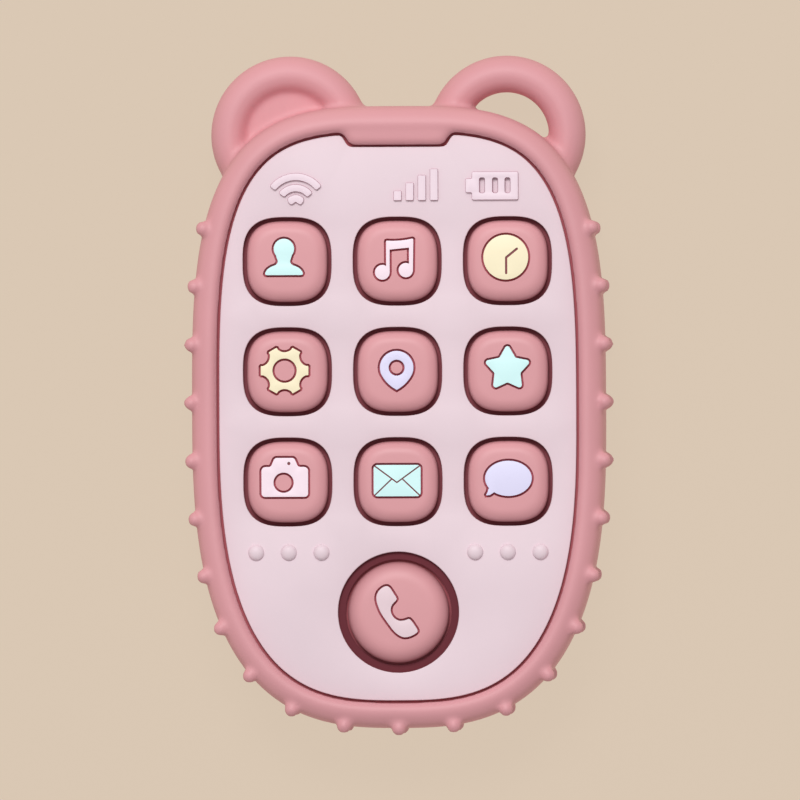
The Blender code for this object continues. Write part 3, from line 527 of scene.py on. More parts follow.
def prism(bm, loops, low, high, spread=0.0):
    """An outline pulled up from one height to another. Loops after the first are holes in it.

    spread is how much wider it is at its foot.
    """
    feet = loops
    if spread:
        feet = [grow(points, -spread if number else spread) for number, points in enumerate(loops)]
    edges = [edge for points in feet for edge in ring(bm, points, low)]
    filled = bmesh.ops.triangle_fill(bm, edges=edges, use_beauty=True, normal=(0, 0, 1))
    floor = [f for f in filled["geom"] if isinstance(f, bmesh.types.BMFace)]
    pulled = bmesh.ops.extrude_face_region(bm, geom=floor, use_keep_orig=True)["geom"]
    raised = [v for v in pulled if isinstance(v, bmesh.types.BMVert)]
    bmesh.ops.translate(bm, verts=raised, vec=(0, 0, high - low))
    if spread:
        heads = [point for points in loops for point in points]
        ends = [Vector(point) for points in feet for point in points]
        for vert in raised:
            nearest = min(range(len(ends)), key=lambda i: (ends[i] - vert.co.xy).length)
            vert.co.xy = heads[nearest]
    bmesh.ops.recalc_face_normals(bm, faces=bm.faces[:])


def paint_shade_below(bm, number, below):
    """Give a material number to the faces that lie wholly below a height; here it paints shade low in holes,
    gaps, wells and under the keys' shoulders.
    """
    for face in bm.faces:
        if max(vert.co.z for vert in face.verts) <= below:
            face.material_index = number
    return bm


def turned(bm, profile, x=0.0, y=0.0, step=10):
    """A solid turned round an upright axis, from (radius, z) pairs with a flat disc at each end."""
    loft(bm, [(circle(radius, x, y, step), z) for radius, z in profile])


def box(bm, low, high):
    corners = [(low[0], low[1]), (high[0], low[1]), (high[0], high[1]), (low[0], high[1])]
    prism(bm, [corners], low[2], high[2])


def soften(bm, width, segments=3, above=-1000.0, below=1000.0):
    """Round the sharp edges that lie between two heights."""
    edges = []
    for edge in bm.edges:
        heights = [vert.co.z for vert in edge.verts]
        if min(heights) < above or max(heights) > below or not edge.is_manifold:
            continue
        if edge.calc_face_angle() > math.radians(50):
            edges.append(edge)
    bmesh.ops.bevel(
        bm,
        geom=edges,
        offset=width,
        offset_type="OFFSET",
        segments=segments,
        profile=0.5,
        affect="EDGES",
        material=-1,
        clamp_overlap=True,
    )


def drawn(build, *values):
    """A fresh bmesh that build(bm, *values) draws in."""
    bm = bmesh.new()
    build(bm, *values)
    return bm


def as_object(bm, slots=1):
    """A loose object of a bmesh, with plain stand-in materials so that face numbers survive a Boolean."""
    mesh = bpy.data.meshes.new("work")
    bm.to_mesh(mesh)
    for i in range(slots):
        mesh.materials.append(None)
    made = bpy.data.objects.new("work", mesh)
    bpy.context.scene.collection.objects.link(made)
    return made


def applied(made):
    """The bmesh of an object with its modifiers, which is then thrown away."""
    depsgraph = bpy.context.evaluated_depsgraph_get()
    mesh = bpy.data.meshes.new_from_object(made.evaluated_get(depsgraph))
    bm = bmesh.new()
    bm.from_mesh(mesh)
    bpy.data.objects.remove(made, do_unlink=True)
    bpy.data.meshes.remove(mesh)
    return bm


def carved(block, tools, operation="DIFFERENCE"):
    """block after an exact Boolean with each tool. Tools may carry (bmesh, material number)."""
    base = as_object(block, 3)
    cutters = []
    for tool, number in tools:
        for face in tool.faces:
            face.material_index = number
        cutters.append(as_object(tool, 3))
        modifier = base.modifiers.new("carve", "BOOLEAN")
        modifier.operation = operation
        modifier.solver = "EXACT"
        modifier.object = cutters[-1]
    result = applied(base)
    for cutter in cutters:
        bpy.data.objects.remove(cutter, do_unlink=True)
    return result


def remeshed(bm, grid, smoothing):
    """The outside of everything in bm as one even skin, with its creases softened."""
    made = as_object(bm)
    modifier = made.modifiers.new("skin", "REMESH")
    modifier.mode = "VOXEL"
    modifier.voxel_size = grid
    result = applied(made)
    for _ in range(smoothing):
        bmesh.ops.smooth_vert(
            result, verts=result.verts[:], factor=0.5, use_axis_x=True, use_axis_y=True, use_axis_z=True
        )
    return result


def piece(name, bm, materials, body, replaced=(), at=(0, 0), sharp=32):
    """A finished piece in the frame, riding on a body. at moves it from the phone's middle."""
    place = Matrix.Translation((MIDDLE.x, MIDDLE.y, 0)) @ Matrix.Scale(MM, 4) @ Matrix.Translation((*at, 0))
    bmesh.ops.transform(bm, matrix=place, verts=bm.verts[:])
    mesh = bpy.data.meshes.new(name)
    bm.to_mesh(mesh)
    bm.free()
    mesh.shade_smooth()
    mesh.set_sharp_from_angle(angle=math.radians(sharp))
    for material in materials:
        mesh.materials.append(material)
    made = bpy.data.objects.new(name, mesh)
    bpy.context.scene.collection.objects.link(made)
    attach(made, body)
    if replaced:
        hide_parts(*replaced)
    return made


# ---------------------------------------------------------------- finishes


class Signal:
    """A shader socket that Python arithmetic works on, by adding Math nodes."""

    def __init__(self, paint, socket):
        self.paint = paint
        self.socket = socket

    def math(self, operation, first, second):
        return self.paint.node("ShaderNodeMath", {"operation": operation}, {0: first, 1: second})

    def __add__(self, other):
        return self.math("ADD", self, other)

    def __radd__(self, other):
        return self.math("ADD", other, self)

    def __sub__(self, other):
        return self.math("SUBTRACT", self, other)

    def __rsub__(self, other):
        return self.math("SUBTRACT", other, self)

    def __mul__(self, other):
        return self.math("MULTIPLY", self, other)

    def __rmul__(self, other):
        return self.math("MULTIPLY", other, self)

    def __gt__(self, other):
        return self.math("GREATER_THAN", self, other)

    def __lt__(self, other):
        return self.math("LESS_THAN", self, other)

    def mod(self, other):
        return self.math("FLOORED_MODULO", self, other)


class Paint:
    """One material: a Principled shader, and the nodes that vary it."""

    def __init__(self, name, **fixed):
        self.material = bpy.data.materials.new(name)
        self.material.use_nodes = True
        self.tree = self.material.node_tree
        self.shader = self.tree.nodes["Principled BSDF"]
        for socket, value in fixed.items():
            self.shader.inputs[socket.replace("_", " ").title().replace("Ior", "IOR")].default_value = value

    def node(self, kind, settings=None, inputs=None, output=0):
        """A node with its settings made first, then the values or links of its sockets."""
        made = self.tree.nodes.new(kind)
        for setting, value in (settings or {}).items():
            setattr(made, setting, value)
        for socket, value in (inputs or {}).items():
            if isinstance(value, Signal):
                self.tree.links.new(value.socket, made.inputs[socket])
            else:
                made.inputs[socket].default_value = value
        return Signal(self, made.outputs[output])

    def place(self):
        """Object coordinates, which stay with the piece."""
        return self.node("ShaderNodeTexCoord", output="Object")

    def axis(self, index):
        return self.node("ShaderNodeSeparateXYZ", inputs={0: self.place()}, output=index)

    def noise(self, scale, detail=2.0, roughness=0.5, stretch=None):
        vector = self.place()
        if stretch:
            vector = self.node("ShaderNodeMapping", inputs={"Vector": vector, "Scale": stretch})
        inputs = {"Vector": vector, "Scale": scale, "Detail": detail, "Roughness": roughness}
        return self.node("ShaderNodeTexNoise", inputs=inputs)

    def blend(self, share, first, second):
        """Two colours mixed: the first where share is 0, the second where it is 1."""
        settings = {"data_type": "RGBA", "blend_type": "MIX"}
        return self.node("ShaderNodeMix", settings, {0: share, 6: first, 7: second}, output=2)

    def span(self, value, low, high, to_low=0.0, to_high=1.0):
        """value mapped from one range to another, held at the ends."""
        inputs = {0: value, 1: low, 2: high, 3: to_low, 4: to_high}
        return self.node("ShaderNodeMapRange", {"clamp": True}, inputs)

    def bump(self, height, distance):
        inputs = {"Height": height, "Distance": distance, "Strength": 1.0}
        return self.node("ShaderNodeBump", inputs=inputs)

    def feed(self, **sockets):
        for socket, value in sockets.items():
            self.tree.links.new(value.socket, self.shader.inputs[socket.replace("_", " ")])
        return self.material


def tint(red, green, blue):
    """A colour given as it looks on a screen, from 0 to 255, as the shader takes it."""
    parts = [c / 255 for c in (red, green, blue)]
    linear = [c / 12.92 if c <= 0.04045 else ((c + 0.055) / 1.055) ** 2.4 for c in parts]
    return (*linear, 1.0)


def shifted(colour, factor):
    return (*[min(1.0, c * factor) for c in colour[:3]], 1.0)


def moulded(name, colour, roughness, grain, patch=0.03, foot=None, **fixed):
    """Moulded rubber or plastic: faint patches of shade, a fine grain and an uneven shine.

    foot gives a height in millimetres, another above it, and the colour of painted shade that it fades to at
    the lower one.
    """
    paint = Paint(name, roughness=roughness, **fixed)
    clouds = paint.noise(38.0, 3.0)
    fine = paint.noise(2700.0, 2.0, 0.6)
    shade = paint.span(clouds, 0.3, 0.7)
    base = paint.blend(shade, shifted(colour, 1 - patch), shifted(colour, 1 + patch))
    dust = paint.span(fine, 0.62, 0.8, 0.0, 0.35)
    base = paint.blend(dust, base, shifted(colour, 1.12))
    if foot:
        low, high, painted_shade_colour = foot
        # painted shade: the colour darkens by height towards the foot colour
        base = paint.blend(paint.span(paint.axis(2), low * MM, high * MM), painted_shade_colour, base)
    shine = roughness + (clouds - 0.5) * 0.12 + (fine - 0.5) * 0.1
    relief = paint.noise(900.0, 3.0, 0.55) * 0.7 + fine * 0.3
    return paint.feed(Base_Color=base, Roughness=shine, Normal=paint.bump(relief, grain))


def metal(name, colour, roughness, scratch=(1, 1, 14)):
    """Plated or brushed metal, with fine lines and dull spots."""
    paint = Paint(name, roughness=roughness, metallic=1.0)
    lines = paint.noise(900.0, 3.0, 0.6, stretch=scratch)
    spots = paint.noise(160.0, 3.0)
    base = paint.blend(paint.span(spots, 0.35, 0.65), shifted(colour, 0.8), colour)
    shine = roughness + (spots - 0.5) * 0.3 + (lines - 0.5) * 0.2
    return paint.feed(Base_Color=base, Roughness=shine, Normal=paint.bump(lines, 0.00001))


def circuit_green():
    """Green lacquer over copper tracks, with rows of bright pads."""
    paint = Paint("board lacquer", roughness=0.35)
    x, y = paint.axis(0), paint.axis(1)
    weave = paint.noise(2200.0, 1.0)
    per_metre, wander, bare = 420.0, 1.4, 0.62
    track_x = (x * per_metre + paint.noise(60.0, 0.0) * wander).mod(1.0) > bare
    track_y = (y * per_metre + paint.noise(45.0, 0.0) * wander).mod(1.0) > bare
    choice = paint.noise(70.0, 0.0) > 0.5
    tracks = track_x * choice + track_y * (1 - choice)
    lacquer = paint.blend(tracks, tint(18, 74, 42), tint(38, 110, 62))
    pads_per_metre, pad_size, sparse = 180.0, 0.02, 0.56
    pad_x = (x * pads_per_metre).mod(1.0) - 0.5
    pad_y = (y * pads_per_metre).mod(1.0) - 0.5
    pads = ((pad_x * pad_x + pad_y * pad_y) < pad_size) * (paint.noise(40.0, 0.0) > sparse)
    base = paint.blend(pads, lacquer, tint(214, 186, 120))
    relief = tracks * 0.6 + weave * 0.2 + pads
    shine = 0.38 + weave * 0.15
    uneven = paint.bump(relief, 0.00003)
    return paint.feed(Base_Color=base, Roughness=shine, Metallic=pads * 0.9, Normal=uneven)


def cell_wrap():
    """A printed film in two bands, a little worn."""
    paint = Paint("cell wrap", roughness=0.3)
    band_end = 0.004
    gold = (paint.axis(0) > band_end) * 1.0
    soft = paint.noise(200.0, 2.0)
    base = paint.blend(gold, tint(52, 96, 104), tint(196, 164, 96))
    base = paint.blend(paint.span(soft, 0.3, 0.8, 0.0, 0.25), base, tint(28, 40, 44))
    return paint.feed(Base_Color=base, Roughness=0.28 + soft * 0.2, Normal=paint.bump(soft, 0.00002))


def paper_cone():
    """Pressed paper, ribbed round its middle."""
    paint = Paint("cone paper", roughness=0.9)
    fibre = paint.noise(1500.0, 4.0, 0.7)
    base = paint.blend(paint.span(fibre, 0.3, 0.7), tint(22, 21, 22), tint(46, 44, 44))
    return paint.feed(Base_Color=base, Roughness=0.8 + fibre * 0.2, Normal=paint.bump(fibre, 0.00006))


# ---------------------------------------------------------------- the sleeve


def sleeve_profile():
    """(inset, height) pairs round the sleeve's wall, from its back lip out over the rim to its front lip."""
    back = [(13.0, 1.9), (13.0, 0.5), (12.5, 0.0), (9.0, 0.0), (4.2, 0.0), (2.6, 0.35), (1.3, 1.2)]
    back.append((0.45, 2.6))
    side = [(0.06, 4.4), (0.0, 8.0), (0.0, 12.5), (0.0, 17.0), (0.06, 20.6)]
    crest = [(0.35, 22.0), (0.95, 23.2), (1.85, 24.05), (2.85, 24.62), (3.75, 24.9)]
    crest += [(LIP_REACH - 1.25, 24.85), (LIP_REACH - 0.6, 24.35), (LIP_REACH - 0.2, 23.5)]
    lip = [(LIP_REACH, 22.4), (LIP_REACH, LIP_UNDER), (4.5, LIP_UNDER), (WALL, LIP_UNDER)]
    inside = [(WALL, 17.0), (WALL, 8.0), (WALL, BACK_LIP), (8.0, BACK_LIP), (12.7, BACK_LIP)]
    return back + side + crest + lip + inside


def make_wall(bm):
    hoop(bm, [(body_outline(inset), z) for inset, z in sleeve_profile()])


def make_tab(bm):
    """The tab at the top of the rim, crowned like the rim."""
    levels = [(0.0, LIP_UNDER), (0.0, 22.9), (0.1, 23.5), (0.35, 23.95), (0.8, 24.25), (1.5, 24.4)]
    levels += [(2.6, 24.48), (3.6, 24.6)]
    loft(bm, [(tab_outline(inset), z) for inset, z in levels])


def make_ear(bm, x):
    """One ear's ring, standing round an upright axis."""
    profile = arc(EAR_RADIUS, DEPTH / 2, EAR_TUBE, 0, 360, radius_y=EAR_HALF_DEPTH, step=15)[:-1]
    verts = [bm.verts.new((x + px, EAR_Y, z)) for px, z in profile]
    edges = [bm.edges.new(pair) for pair in zip(verts, verts[1:] + verts[:1])]
    bmesh.ops.spin(
        bm,
        geom=verts + edges,
        cent=(x, EAR_Y, 0),
        axis=(0, 0, 1),
        angle=2 * math.pi,
        steps=72,
        use_merge=True,
    )
    bmesh.ops.remove_doubles(bm, verts=bm.verts[:], dist=0.001)
    bmesh.ops.recalc_face_normals(bm, faces=bm.faces[:])


def make_web(bm):
    """The thin wall that closes the left ear."""
    middle = DEPTH / 2
    half = EAR_WEB / 2
    edge = EAR_RADIUS - WEB_INSET
    turned(bm, [(edge, middle - half), (edge, middle + half)], -EAR_X, EAR_Y)


def make_stud(bm, x, y, z):
    at = Matrix.Translation((x, y, z))
    bmesh.ops.create_uvsphere(bm, u_segments=20, v_segments=12, radius=BUMP_RADIUS, matrix=at)


def join(target, others):
    """Put every mesh of others into target."""
    for other in others:
        mesh = bpy.data.meshes.new("joining")
        other.to_mesh(mesh)
        target.from_mesh(mesh)
        bpy.data.meshes.remove(mesh)
        other.free()
    return target


def make_sleeve(silicone):
    cavity = body_outline(WALL - EAR_ROOT)
    whole_ears = [drawn(make_ear, x) for x in (EAR_X, -EAR_X)] + [drawn(make_web)]
    ears = [carved(ear, [(drawn(prism, [cavity], CUT_LOW, CUT_HIGH), 0)]) for ear in whole_ears]
    studs = [drawn(make_stud, x, y, z) for x, y in bump_spots() for z in (BUMP_HEIGHT, DEPTH - BUMP_HEIGHT)]
    whole = join(drawn(make_wall), [drawn(make_tab)] + ears + studs)
    skin = remeshed(whole, SLEEVE_GRID, SLEEVE_SMOOTHING)
    piece("sleeve_skin", skin, [silicone], "phone", ["silicone_sleeve"], sharp=80)


# ---------------------------------------------------------------- the case


def battery_slots():
    return [box_outline(1.3, 3.45, 0.5, x, SLOTS_Y) for x in SLOTS_X]


def sign_shapes():
    """The raised signs on the face, each as its outline and its holes."""
    fan_x, fan_y = FAN
    shapes = [[band(fan_x, fan_y, 7.0, 5.55, 37, 143, 0.4)], [band(fan_x, fan_y, 4.55, 3.1, 37, 143, 0.4)]]
    side = [(1.7, 1.2), (1.45, 0.65), (1.05, 0.3), (0.6, 0.45)]
    drop = side[::-1] + arc(0, 0, 2.3, 45, 135, step=10) + [(-x, y) for x, y in side] + [(0.0, 0.8)]
    shapes.append([moved(smooth(drop, 3), fan_x, fan_y)])
    for i, height in enumerate(BAR_HEIGHTS):
        place = (BARS_LEFT + BAR_PITCH * i, BARS_FOOT + height / 2)
        shapes.append([box_outline(BAR_WIDTH, height, 0.15, *place)])
    left, right, foot, head, nub = 16.35, 26.3, 46.5, 52.5, 14.95
    case = [(left, foot, 0.3), (right, foot, 0.3), (right, head, 0.3), (left, head, 0.3)]
    case += [(left, 51.0, 0.3), (nub, 51.0, 0.3), (nub, 48.1, 0.3), (left, 48.1, 0.3)]
    shapes.append([rounded(case)] + battery_slots())
    return shapes


def make_signs():
    """The raised signs and dots. Their upright sides have painted shade and their tops a painted highlight.
    """
    parts = []
    for loops in sign_shapes():
        sign = drawn(prism, loops, FACE - SIGN_ROOT, FACE + SIGN_HEIGHT, SIGN_SPREAD)
        for face in sign.faces:
            # painted shade on the upright sides, painted highlight on the tops
            face.material_index = 2 if abs(face.normal.z) < 0.6 else 4
        soften(sign, SIGN_EDGE, 2, above=FACE + SIGN_HEIGHT / 2)
        parts.append(sign)
    dome = [(1.78, -SIGN_ROOT), (1.72, 0.25), (1.5, 0.62), (1.1, 0.9), (0.6, 1.05), (0.2, 1.1)]
    for x in DOTS_X:
        for side in (-1, 1):
            parts.append(drawn(turned, [(r, FACE + z) for r, z in dome], side * x, DOTS_Y))
    return join(bmesh.new(), parts)


def make_front_cover(pale, gap, sign_side_painted_shade, well_painted_shade, sign_top_painted_highlight):
    call = middle_of("key_call")
    holes = [moved(squircle(HOLE_HALF, 72), *middle_of(f"key_{name}")) for name in KEYS[:-1]]
    holes.append(circle(CALL_HOLE, *call, step=4))
    plate = drawn(prism, [opening_outline(FACE_GAP)] + holes, PLATE_UNDER, FACE)
    soften(plate, FACE_EDGE, 3, above=FACE - 0.01)
    # painted shade: the sides of the key holes, below the face, take the dark gap material
    paint_shade_below(plate, 1, FACE - SHADE_PAINTED_BELOW)
    slots = [drawn(prism, [slot], FACE - SLOT_DEEP, FACE + PAST) for slot in battery_slots()]
    plate = carved(plate, [(slot, 0) for slot in slots])
    ledge_ring = [circle(CALL_HOLE + LEDGE_ROOT, *call, step=4), circle(CALL_WELL, *call, step=4)]
    # painted shade: the call key's ledge is coloured dark maroon where its well lies in shade
    ledge = paint_shade_below(drawn(prism, ledge_ring, PLATE_UNDER, CALL_LEDGE), 3, FACE)
    wall, reach = CASE_INSET + CASE_WALL, LIP_REACH + SEAT_REACH
    rim = [(CASE_INSET, SPLIT_LOW), (CASE_INSET, SEAT - CASE_ROUND), (CASE_INSET + CASE_ROUND, SEAT)]
    seat = [(reach, SEAT), (reach, PLATE_UNDER), (wall, PLATE_UNDER), (wall, SPLIT_LOW)]
    # painted shade: the seat and walls under the sleeve's lip, and the tab's seat, take the dark gap
    # material
    shell = paint_shade_below(drawn(hoop, [(body_outline(inset), z) for inset, z in rim + seat]), 1, FACE)
    under_tab = grow(tab_outline(), TAB_SEAT_WIDER)
    tab_seat = paint_shade_below(drawn(prism, [under_tab], PLATE_UNDER, SEAT - TAB_SEAT_LOWER), 1, FACE)
    cover = join(plate, [ledge, shell, tab_seat, make_signs()])
    finishes = [pale, gap, sign_side_painted_shade, well_painted_shade, sign_top_painted_highlight]
    piece("face_shell", cover, finishes, "phone", ["front_cover"])


# ---------------------------------------------------------------- the keys


def key_shape(bm, outline, size, flange, top, low_edge, across, power):
    """A key: its flange, its upright side and its pillowed top.

    outline(half) draws its plan. The shoulder starts at low_edge, and is across wide.
    """
    levels = [(flange, KEY_LOW), (flange, FLANGE_TOP - FLANGE_EDGE), (flange - FLANGE_EDGE, FLANGE_TOP)]
    levels += [(size, FLANGE_TOP), (size, low_edge)]
    high = top - low_edge - CROWN
    for i in range(1, SHOULDER_STEPS + 1):
        angle = math.pi / 2 * i / SHOULDER_STEPS
        out = math.cos(angle) ** (2 / power)
        up = math.sin(angle) ** (2 / power)
        levels.append((size - across * (1 - out), low_edge + high * up))
    crest = levels[-1][0]
    for share in (0.82, 0.64, 0.46, 0.28, 0.1):
        levels.append((crest * share, top - CROWN * share**2))
    loft(bm, [(outline(half), z) for half, z in levels])


def hollow_under(bm, wide, ceiling):
    """The space under a key, round the post that presses its dome."""
    prism(bm, [circle(wide, step=12), circle(POST_RADIUS, step=15)], KEY_LOW - PAST, ceiling)


def strip(start, end, width):
    """A narrow outline with round ends, from one point to another."""
    a, b = Vector(start), Vector(end)
    angle = math.degrees(math.atan2((b - a).y, (b - a).x))
    half = width / 2
    near, far = (a.x, a.y, half, angle + 90, angle + 270), (b.x, b.y, half, angle - 90, angle + 90)
    return arc(*far, step=30) + arc(*near, step=30)


def fold_lines():
    """Lines engraved in some pictures, by picture: outlines to cut."""
    x, y = -0.2, 0.7
    hand, long_hand = math.radians(39), 3.0
    ends = ((x, -2.7), (x + long_hand * math.cos(hand), y + long_hand * math.sin(hand)))
    hands = [strip((x, y), end, HAND_WIDTH) for end in ends]
    middle = (-0.15, -0.15)
    folds = (((-5.0, 3.45), middle), ((4.8, 3.45), middle))
    folds += (((-5.0, -2.95), (-1.35, 0.55)), ((4.8, -2.95), (1.1, 0.55)))
    flap = [strip(start, end, FOLD_WIDTH) for start, end in folds]
    return {"clock": hands, "mail": flap, "camera": [circle(0.36, 0.33, 4.05, step=30)]}


def make_key(name, rose, groove_painted_shade, flange, inlay, line):
    """A key with its inlaid picture."""
    outer, holes = PICTURES[name]()
    if name == "call":
        top, shoulder, wide = CALL_TOP, CALL_SHOULDER, CALL_HOLLOW
        bend = (shoulder, CALL_SHOULDER_WIDE, CALL_SHOULDER_POWER)
        block = drawn(key_shape, disc, CALL_RADIUS, CALL_FLANGE, top, *bend)
    else:
        top, shoulder, wide = KEY_TOP, KEY_SHOULDER, KEY_HOLLOW
        bend = (shoulder, KEY_SHOULDER_WIDE, KEY_SHOULDER_POWER)
        block = drawn(key_shape, squircle, KEY_HALF, FLANGE_HALF, top, *bend)
    # painted shade: the key's side, flange and hollow below its shoulder take the dark flange or gap
    # material
    paint_shade_below(block, 2, shoulder + 0.01)
    pocket = [grow(outer, GROOVE)] + [grow(hole, -GROOVE) for hole in holes]
    floor = top - INLAY_DEEP
    hollow = drawn(hollow_under, wide, floor - INLAY_DEEP)
    # painted shade: the picture's pocket takes the darker groove material
    tools = [(drawn(prism, pocket, floor, top + PAST), 1), (hollow, 2)]
    body = f"{name}_key"
    place = middle_of(f"key_{name}")
    key = carved(block, tools)
    piece(f"cap_{name}", key, [rose, groove_painted_shade, flange], body, [f"key_{name}"], place)

    picture = drawn(prism, [outer] + holes, floor + INLAY_LIFT, top + INLAY_PROUD)
    soften(picture, INLAY_EDGE, 3, above=top)
    lines = fold_lines().get(name, [])
    if lines:
        picture = carved(picture, [(drawn(prism, [cut], top - FOLD_DEEP, top + PAST), 1) for cut in lines])
    piece(f"inlay_{name}", picture, [inlay, line], body, [f"icon_{name}"], place)


def frame_slot(node):
    """The record's material slot of a CAD node."""
    return next(part["material_slot"] for part in frame["record"]["subparts"] if part["node"] == node)


def make_dome(name, rubber):
    """The rubber dome under a key, which the key squashes."""
    low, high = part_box(f"dome_{name}")
    base, crown = low.z / MM, high.z / MM
    profile = [(4.2, base), (4.2, base + 0.5), (4.05, base + 0.62), (3.3, base + 0.8), (2.75, base + 1.3)]
    profile += [(2.5, crown - 0.35), (2.3, crown - 0.08), (2.05, crown)]
    node = f"dome_{name}"
    shape = drawn(turned, profile)
    dome = piece(f"rubber_{node}", shape, [rubber], "phone", [node], middle_of(node))
    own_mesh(dome)


# ---------------------------------------------------------------- the back


def door_outline(clearance=0.0):
    """The battery door, a rounded plate with a round lobe for its screw."""
    low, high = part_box("battery_door")
    w = (high.x - low.x) / 2 / MM
    lobe = -(high.y - low.y) / MM + DOOR_TOP
    corners = [
        (-w, DOOR_LOW, 3.0),
        (-5.6, DOOR_LOW, 1.2),
        (-4.4, lobe, 4.0),
        (4.4, lobe, 4.0),
        (5.6, DOOR_LOW, 1.2),
        (w, DOOR_LOW, 3.0),
        (w, DOOR_TOP, 3.0),
        (-w, DOOR_TOP, 3.0),
    ]
    return grow(rounded(corners), clearance)


def sound_holes():
    """Centres of the speaker's holes: one, four and eight."""
    spots = [SPEAKER]
    for count, radius in SPEAKER_RINGS:
        spots += circle(radius, *SPEAKER, step=360 / count)
    return spots


def make_rear_cover(pale):
    outer = [(13.95, BACK_FACE), (13.7, BACK_FACE + 0.1), (13.6, BACK_FACE + 0.35), (13.45, 2.5), (5.5, 2.5)]
    outer += [(4.5, 2.8), (3.7, 3.5), (CASE_INSET, 4.9), (CASE_INSET, SPLIT_LOW - SEAM)]
    inner = [(15.6, 2.6), (15.4, 4.1), (6.6, 4.1), (5.1, 5.6), (5.1, 13)]
    shell = drawn(loft, [(body_outline(inset), z) for inset, z in outer])
    hollow = drawn(loft, [(body_outline(inset), z) for inset, z in inner])
    cover = carved(shell, [(hollow, 0)])
    w, h = DOOR_SEAT
    door_seat = drawn(box, (-w, BAY_Y - h, 2.5), (w, BAY_Y + h, 4.4))
    w, h = BAY_SIZE[0] / 2 + BAY_WALL, BAY_SIZE[1] / 2 + BAY_WALL
    bay = drawn(box, (-w, BAY_Y - h, 2.2), (w, BAY_Y + h, 15.0))
    added = [(door_seat, 0), (bay, 0)]
    for x, y in CASE_SCREWS:
        added.append((drawn(turned, [(3.7, 1.8), (3.7, 8.7)], x, y), 0))
    post = [(5.4, 1.8), (5.4, 4.3), (3.2, 4.6), (3.2, 10.5)]
    added.append((drawn(turned, post, *DOOR_SCREW), 0))
    cover = carved(cover, added, "UNION")
    door_room = moved(door_outline(DOOR_GAP), 0, BAY_Y)
    cuts = [(drawn(prism, [door_room], 0, BACK_FACE + DOOR_THICK + DOOR_GAP), 0)]
    w, h = BAY_SIZE[0] / 2, BAY_SIZE[1] / 2
    cuts.append((drawn(box, (-w, BAY_Y - h, 0.5), (w, BAY_Y + h, 14.0)), 0))
    for x, y in CASE_SCREWS:
        sink = [(3.1, 0), (3.1, 1.0), (2.8, 1.3), (2.8, 4.2), (1.5, 4.3), (1.5, 12)]
        cuts.append((drawn(turned, sink, x, y), 0))
    for x, y in sound_holes():
        cuts.append((drawn(turned, [(1.35, 0), (1.3, 1.0), (1.0, 1.35), (1.0, 6)], x, y, 24), 0))
    cuts.append((drawn(turned, [(1.4, 0.4), (1.4, 9.5)], *DOOR_SCREW), 0))
    cuts.append((drawn(prism, [box_outline(16.0, 8.0, 1.2, 0, SWITCH_Y)], 0, BACK_FACE + 0.7), 0))
    cuts.append((drawn(prism, [box_outline(9.0, 3.2, 0.8, 0, SWITCH_Y)], 0.5, 6), 0))
    for side in (-1, 1):
        y = BAY_Y + side * TERMINAL_Y
        cuts.append((drawn(box, (25.2, y - TERMINAL_HALF, 13.0), (w, y + TERMINAL_HALF, 16.0)), 0))
    cover = carved(cover, cuts)
    piece("back_shell", cover, [pale], "phone", ["rear_cover"])


def make_battery_door(pale):
    plate = drawn(prism, [moved(door_outline(), 0, BAY_Y)], BACK_FACE, BACK_FACE + DOOR_THICK)
    soften(plate, 0.3, 3, below=BACK_FACE + 0.01)
    sink = [(3.0, 0.0), (2.95, 1.0), (2.7, 1.3), (2.7, 1.7), (1.3, 1.8), (1.3, 6)]
    cuts = [(drawn(turned, sink, *DOOR_SCREW), 0)]
    for i in range(FINGER_RIBS):
        rib = box_outline(12.0 - abs(i - FINGER_RIBS // 2) * 1.6, 0.7, 0.3, 0, BAY_Y + 3.5 + i * 1.25)
        cuts.append((drawn(prism, [rib], 0, BACK_FACE + 0.3), 0))
    piece("battery_hatch", carved(plate, cuts), [pale], "door", ["battery_door"])


def make_screw(name, node, steel, body):
    """A cross-headed screw in place of its plain solid, head down."""
    low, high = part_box(node)
    base, top = low.z / MM, high.z / MM
    head = (high.x - low.x) / 2 / MM
    profile = [(head - 0.45, base), (head - 0.15, base + 0.08), (head, base + 0.25)]
    profile.append((SHANK + 0.25, base + 0.42))
    root = SHANK - THREAD_DEEP
    z = base + 0.7
    while z < top - 1.6:
        profile += [(SHANK, z), (root, z + 0.25), (root, z + 0.35), (SHANK, z + THREAD)]
        z += THREAD
    profile += [(SHANK - 0.2, top - 1.2), (0.3, top)]
    arm, wide = head * 0.6, 0.3
    corners = [(wide, wide), (wide, arm), (-wide, arm), (-wide, wide), (-arm, wide), (-arm, -wide)]
    corners += [(-x, -y) for x, y in corners]
    blade = drawn(prism, [corners], -1, base + 0.3)
    screw = carved(drawn(turned, profile), [(blade, 0)])
    piece(name, screw, [steel], body, [node], middle_of(node))


def make_knob(black):
    """The power switch's knob, with a grooved face."""
    low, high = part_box("switch_knob")
    base = low.z / MM
    levels = [(3.3, 2.0, base), (3.75, 2.4, base + 0.12), (4.0, 2.6, base + 0.45), (4.0, 2.6, 3.0)]
    levels += [(7.5, 5.2, 3.05), (7.5, 5.2, 3.9), (2.6, 2.0, 3.95), (2.6, 2.0, 5.0)]
    knob = drawn(loft, [(box_outline(w, h, 0.5), z) for w, h, z in levels])
    cuts = []
    for x in (-1.1, -0.37, 0.37, 1.1):
        cuts.append((drawn(box, (x - 0.18, -0.95, 0), (x + 0.18, 0.95, base + 0.28)), 0))
    knob = carved(knob, cuts)
    piece("switch_thumb", knob, [black], "switch", ["switch_knob"], middle_of("switch_knob"))


# ---------------------------------------------------------------- the room


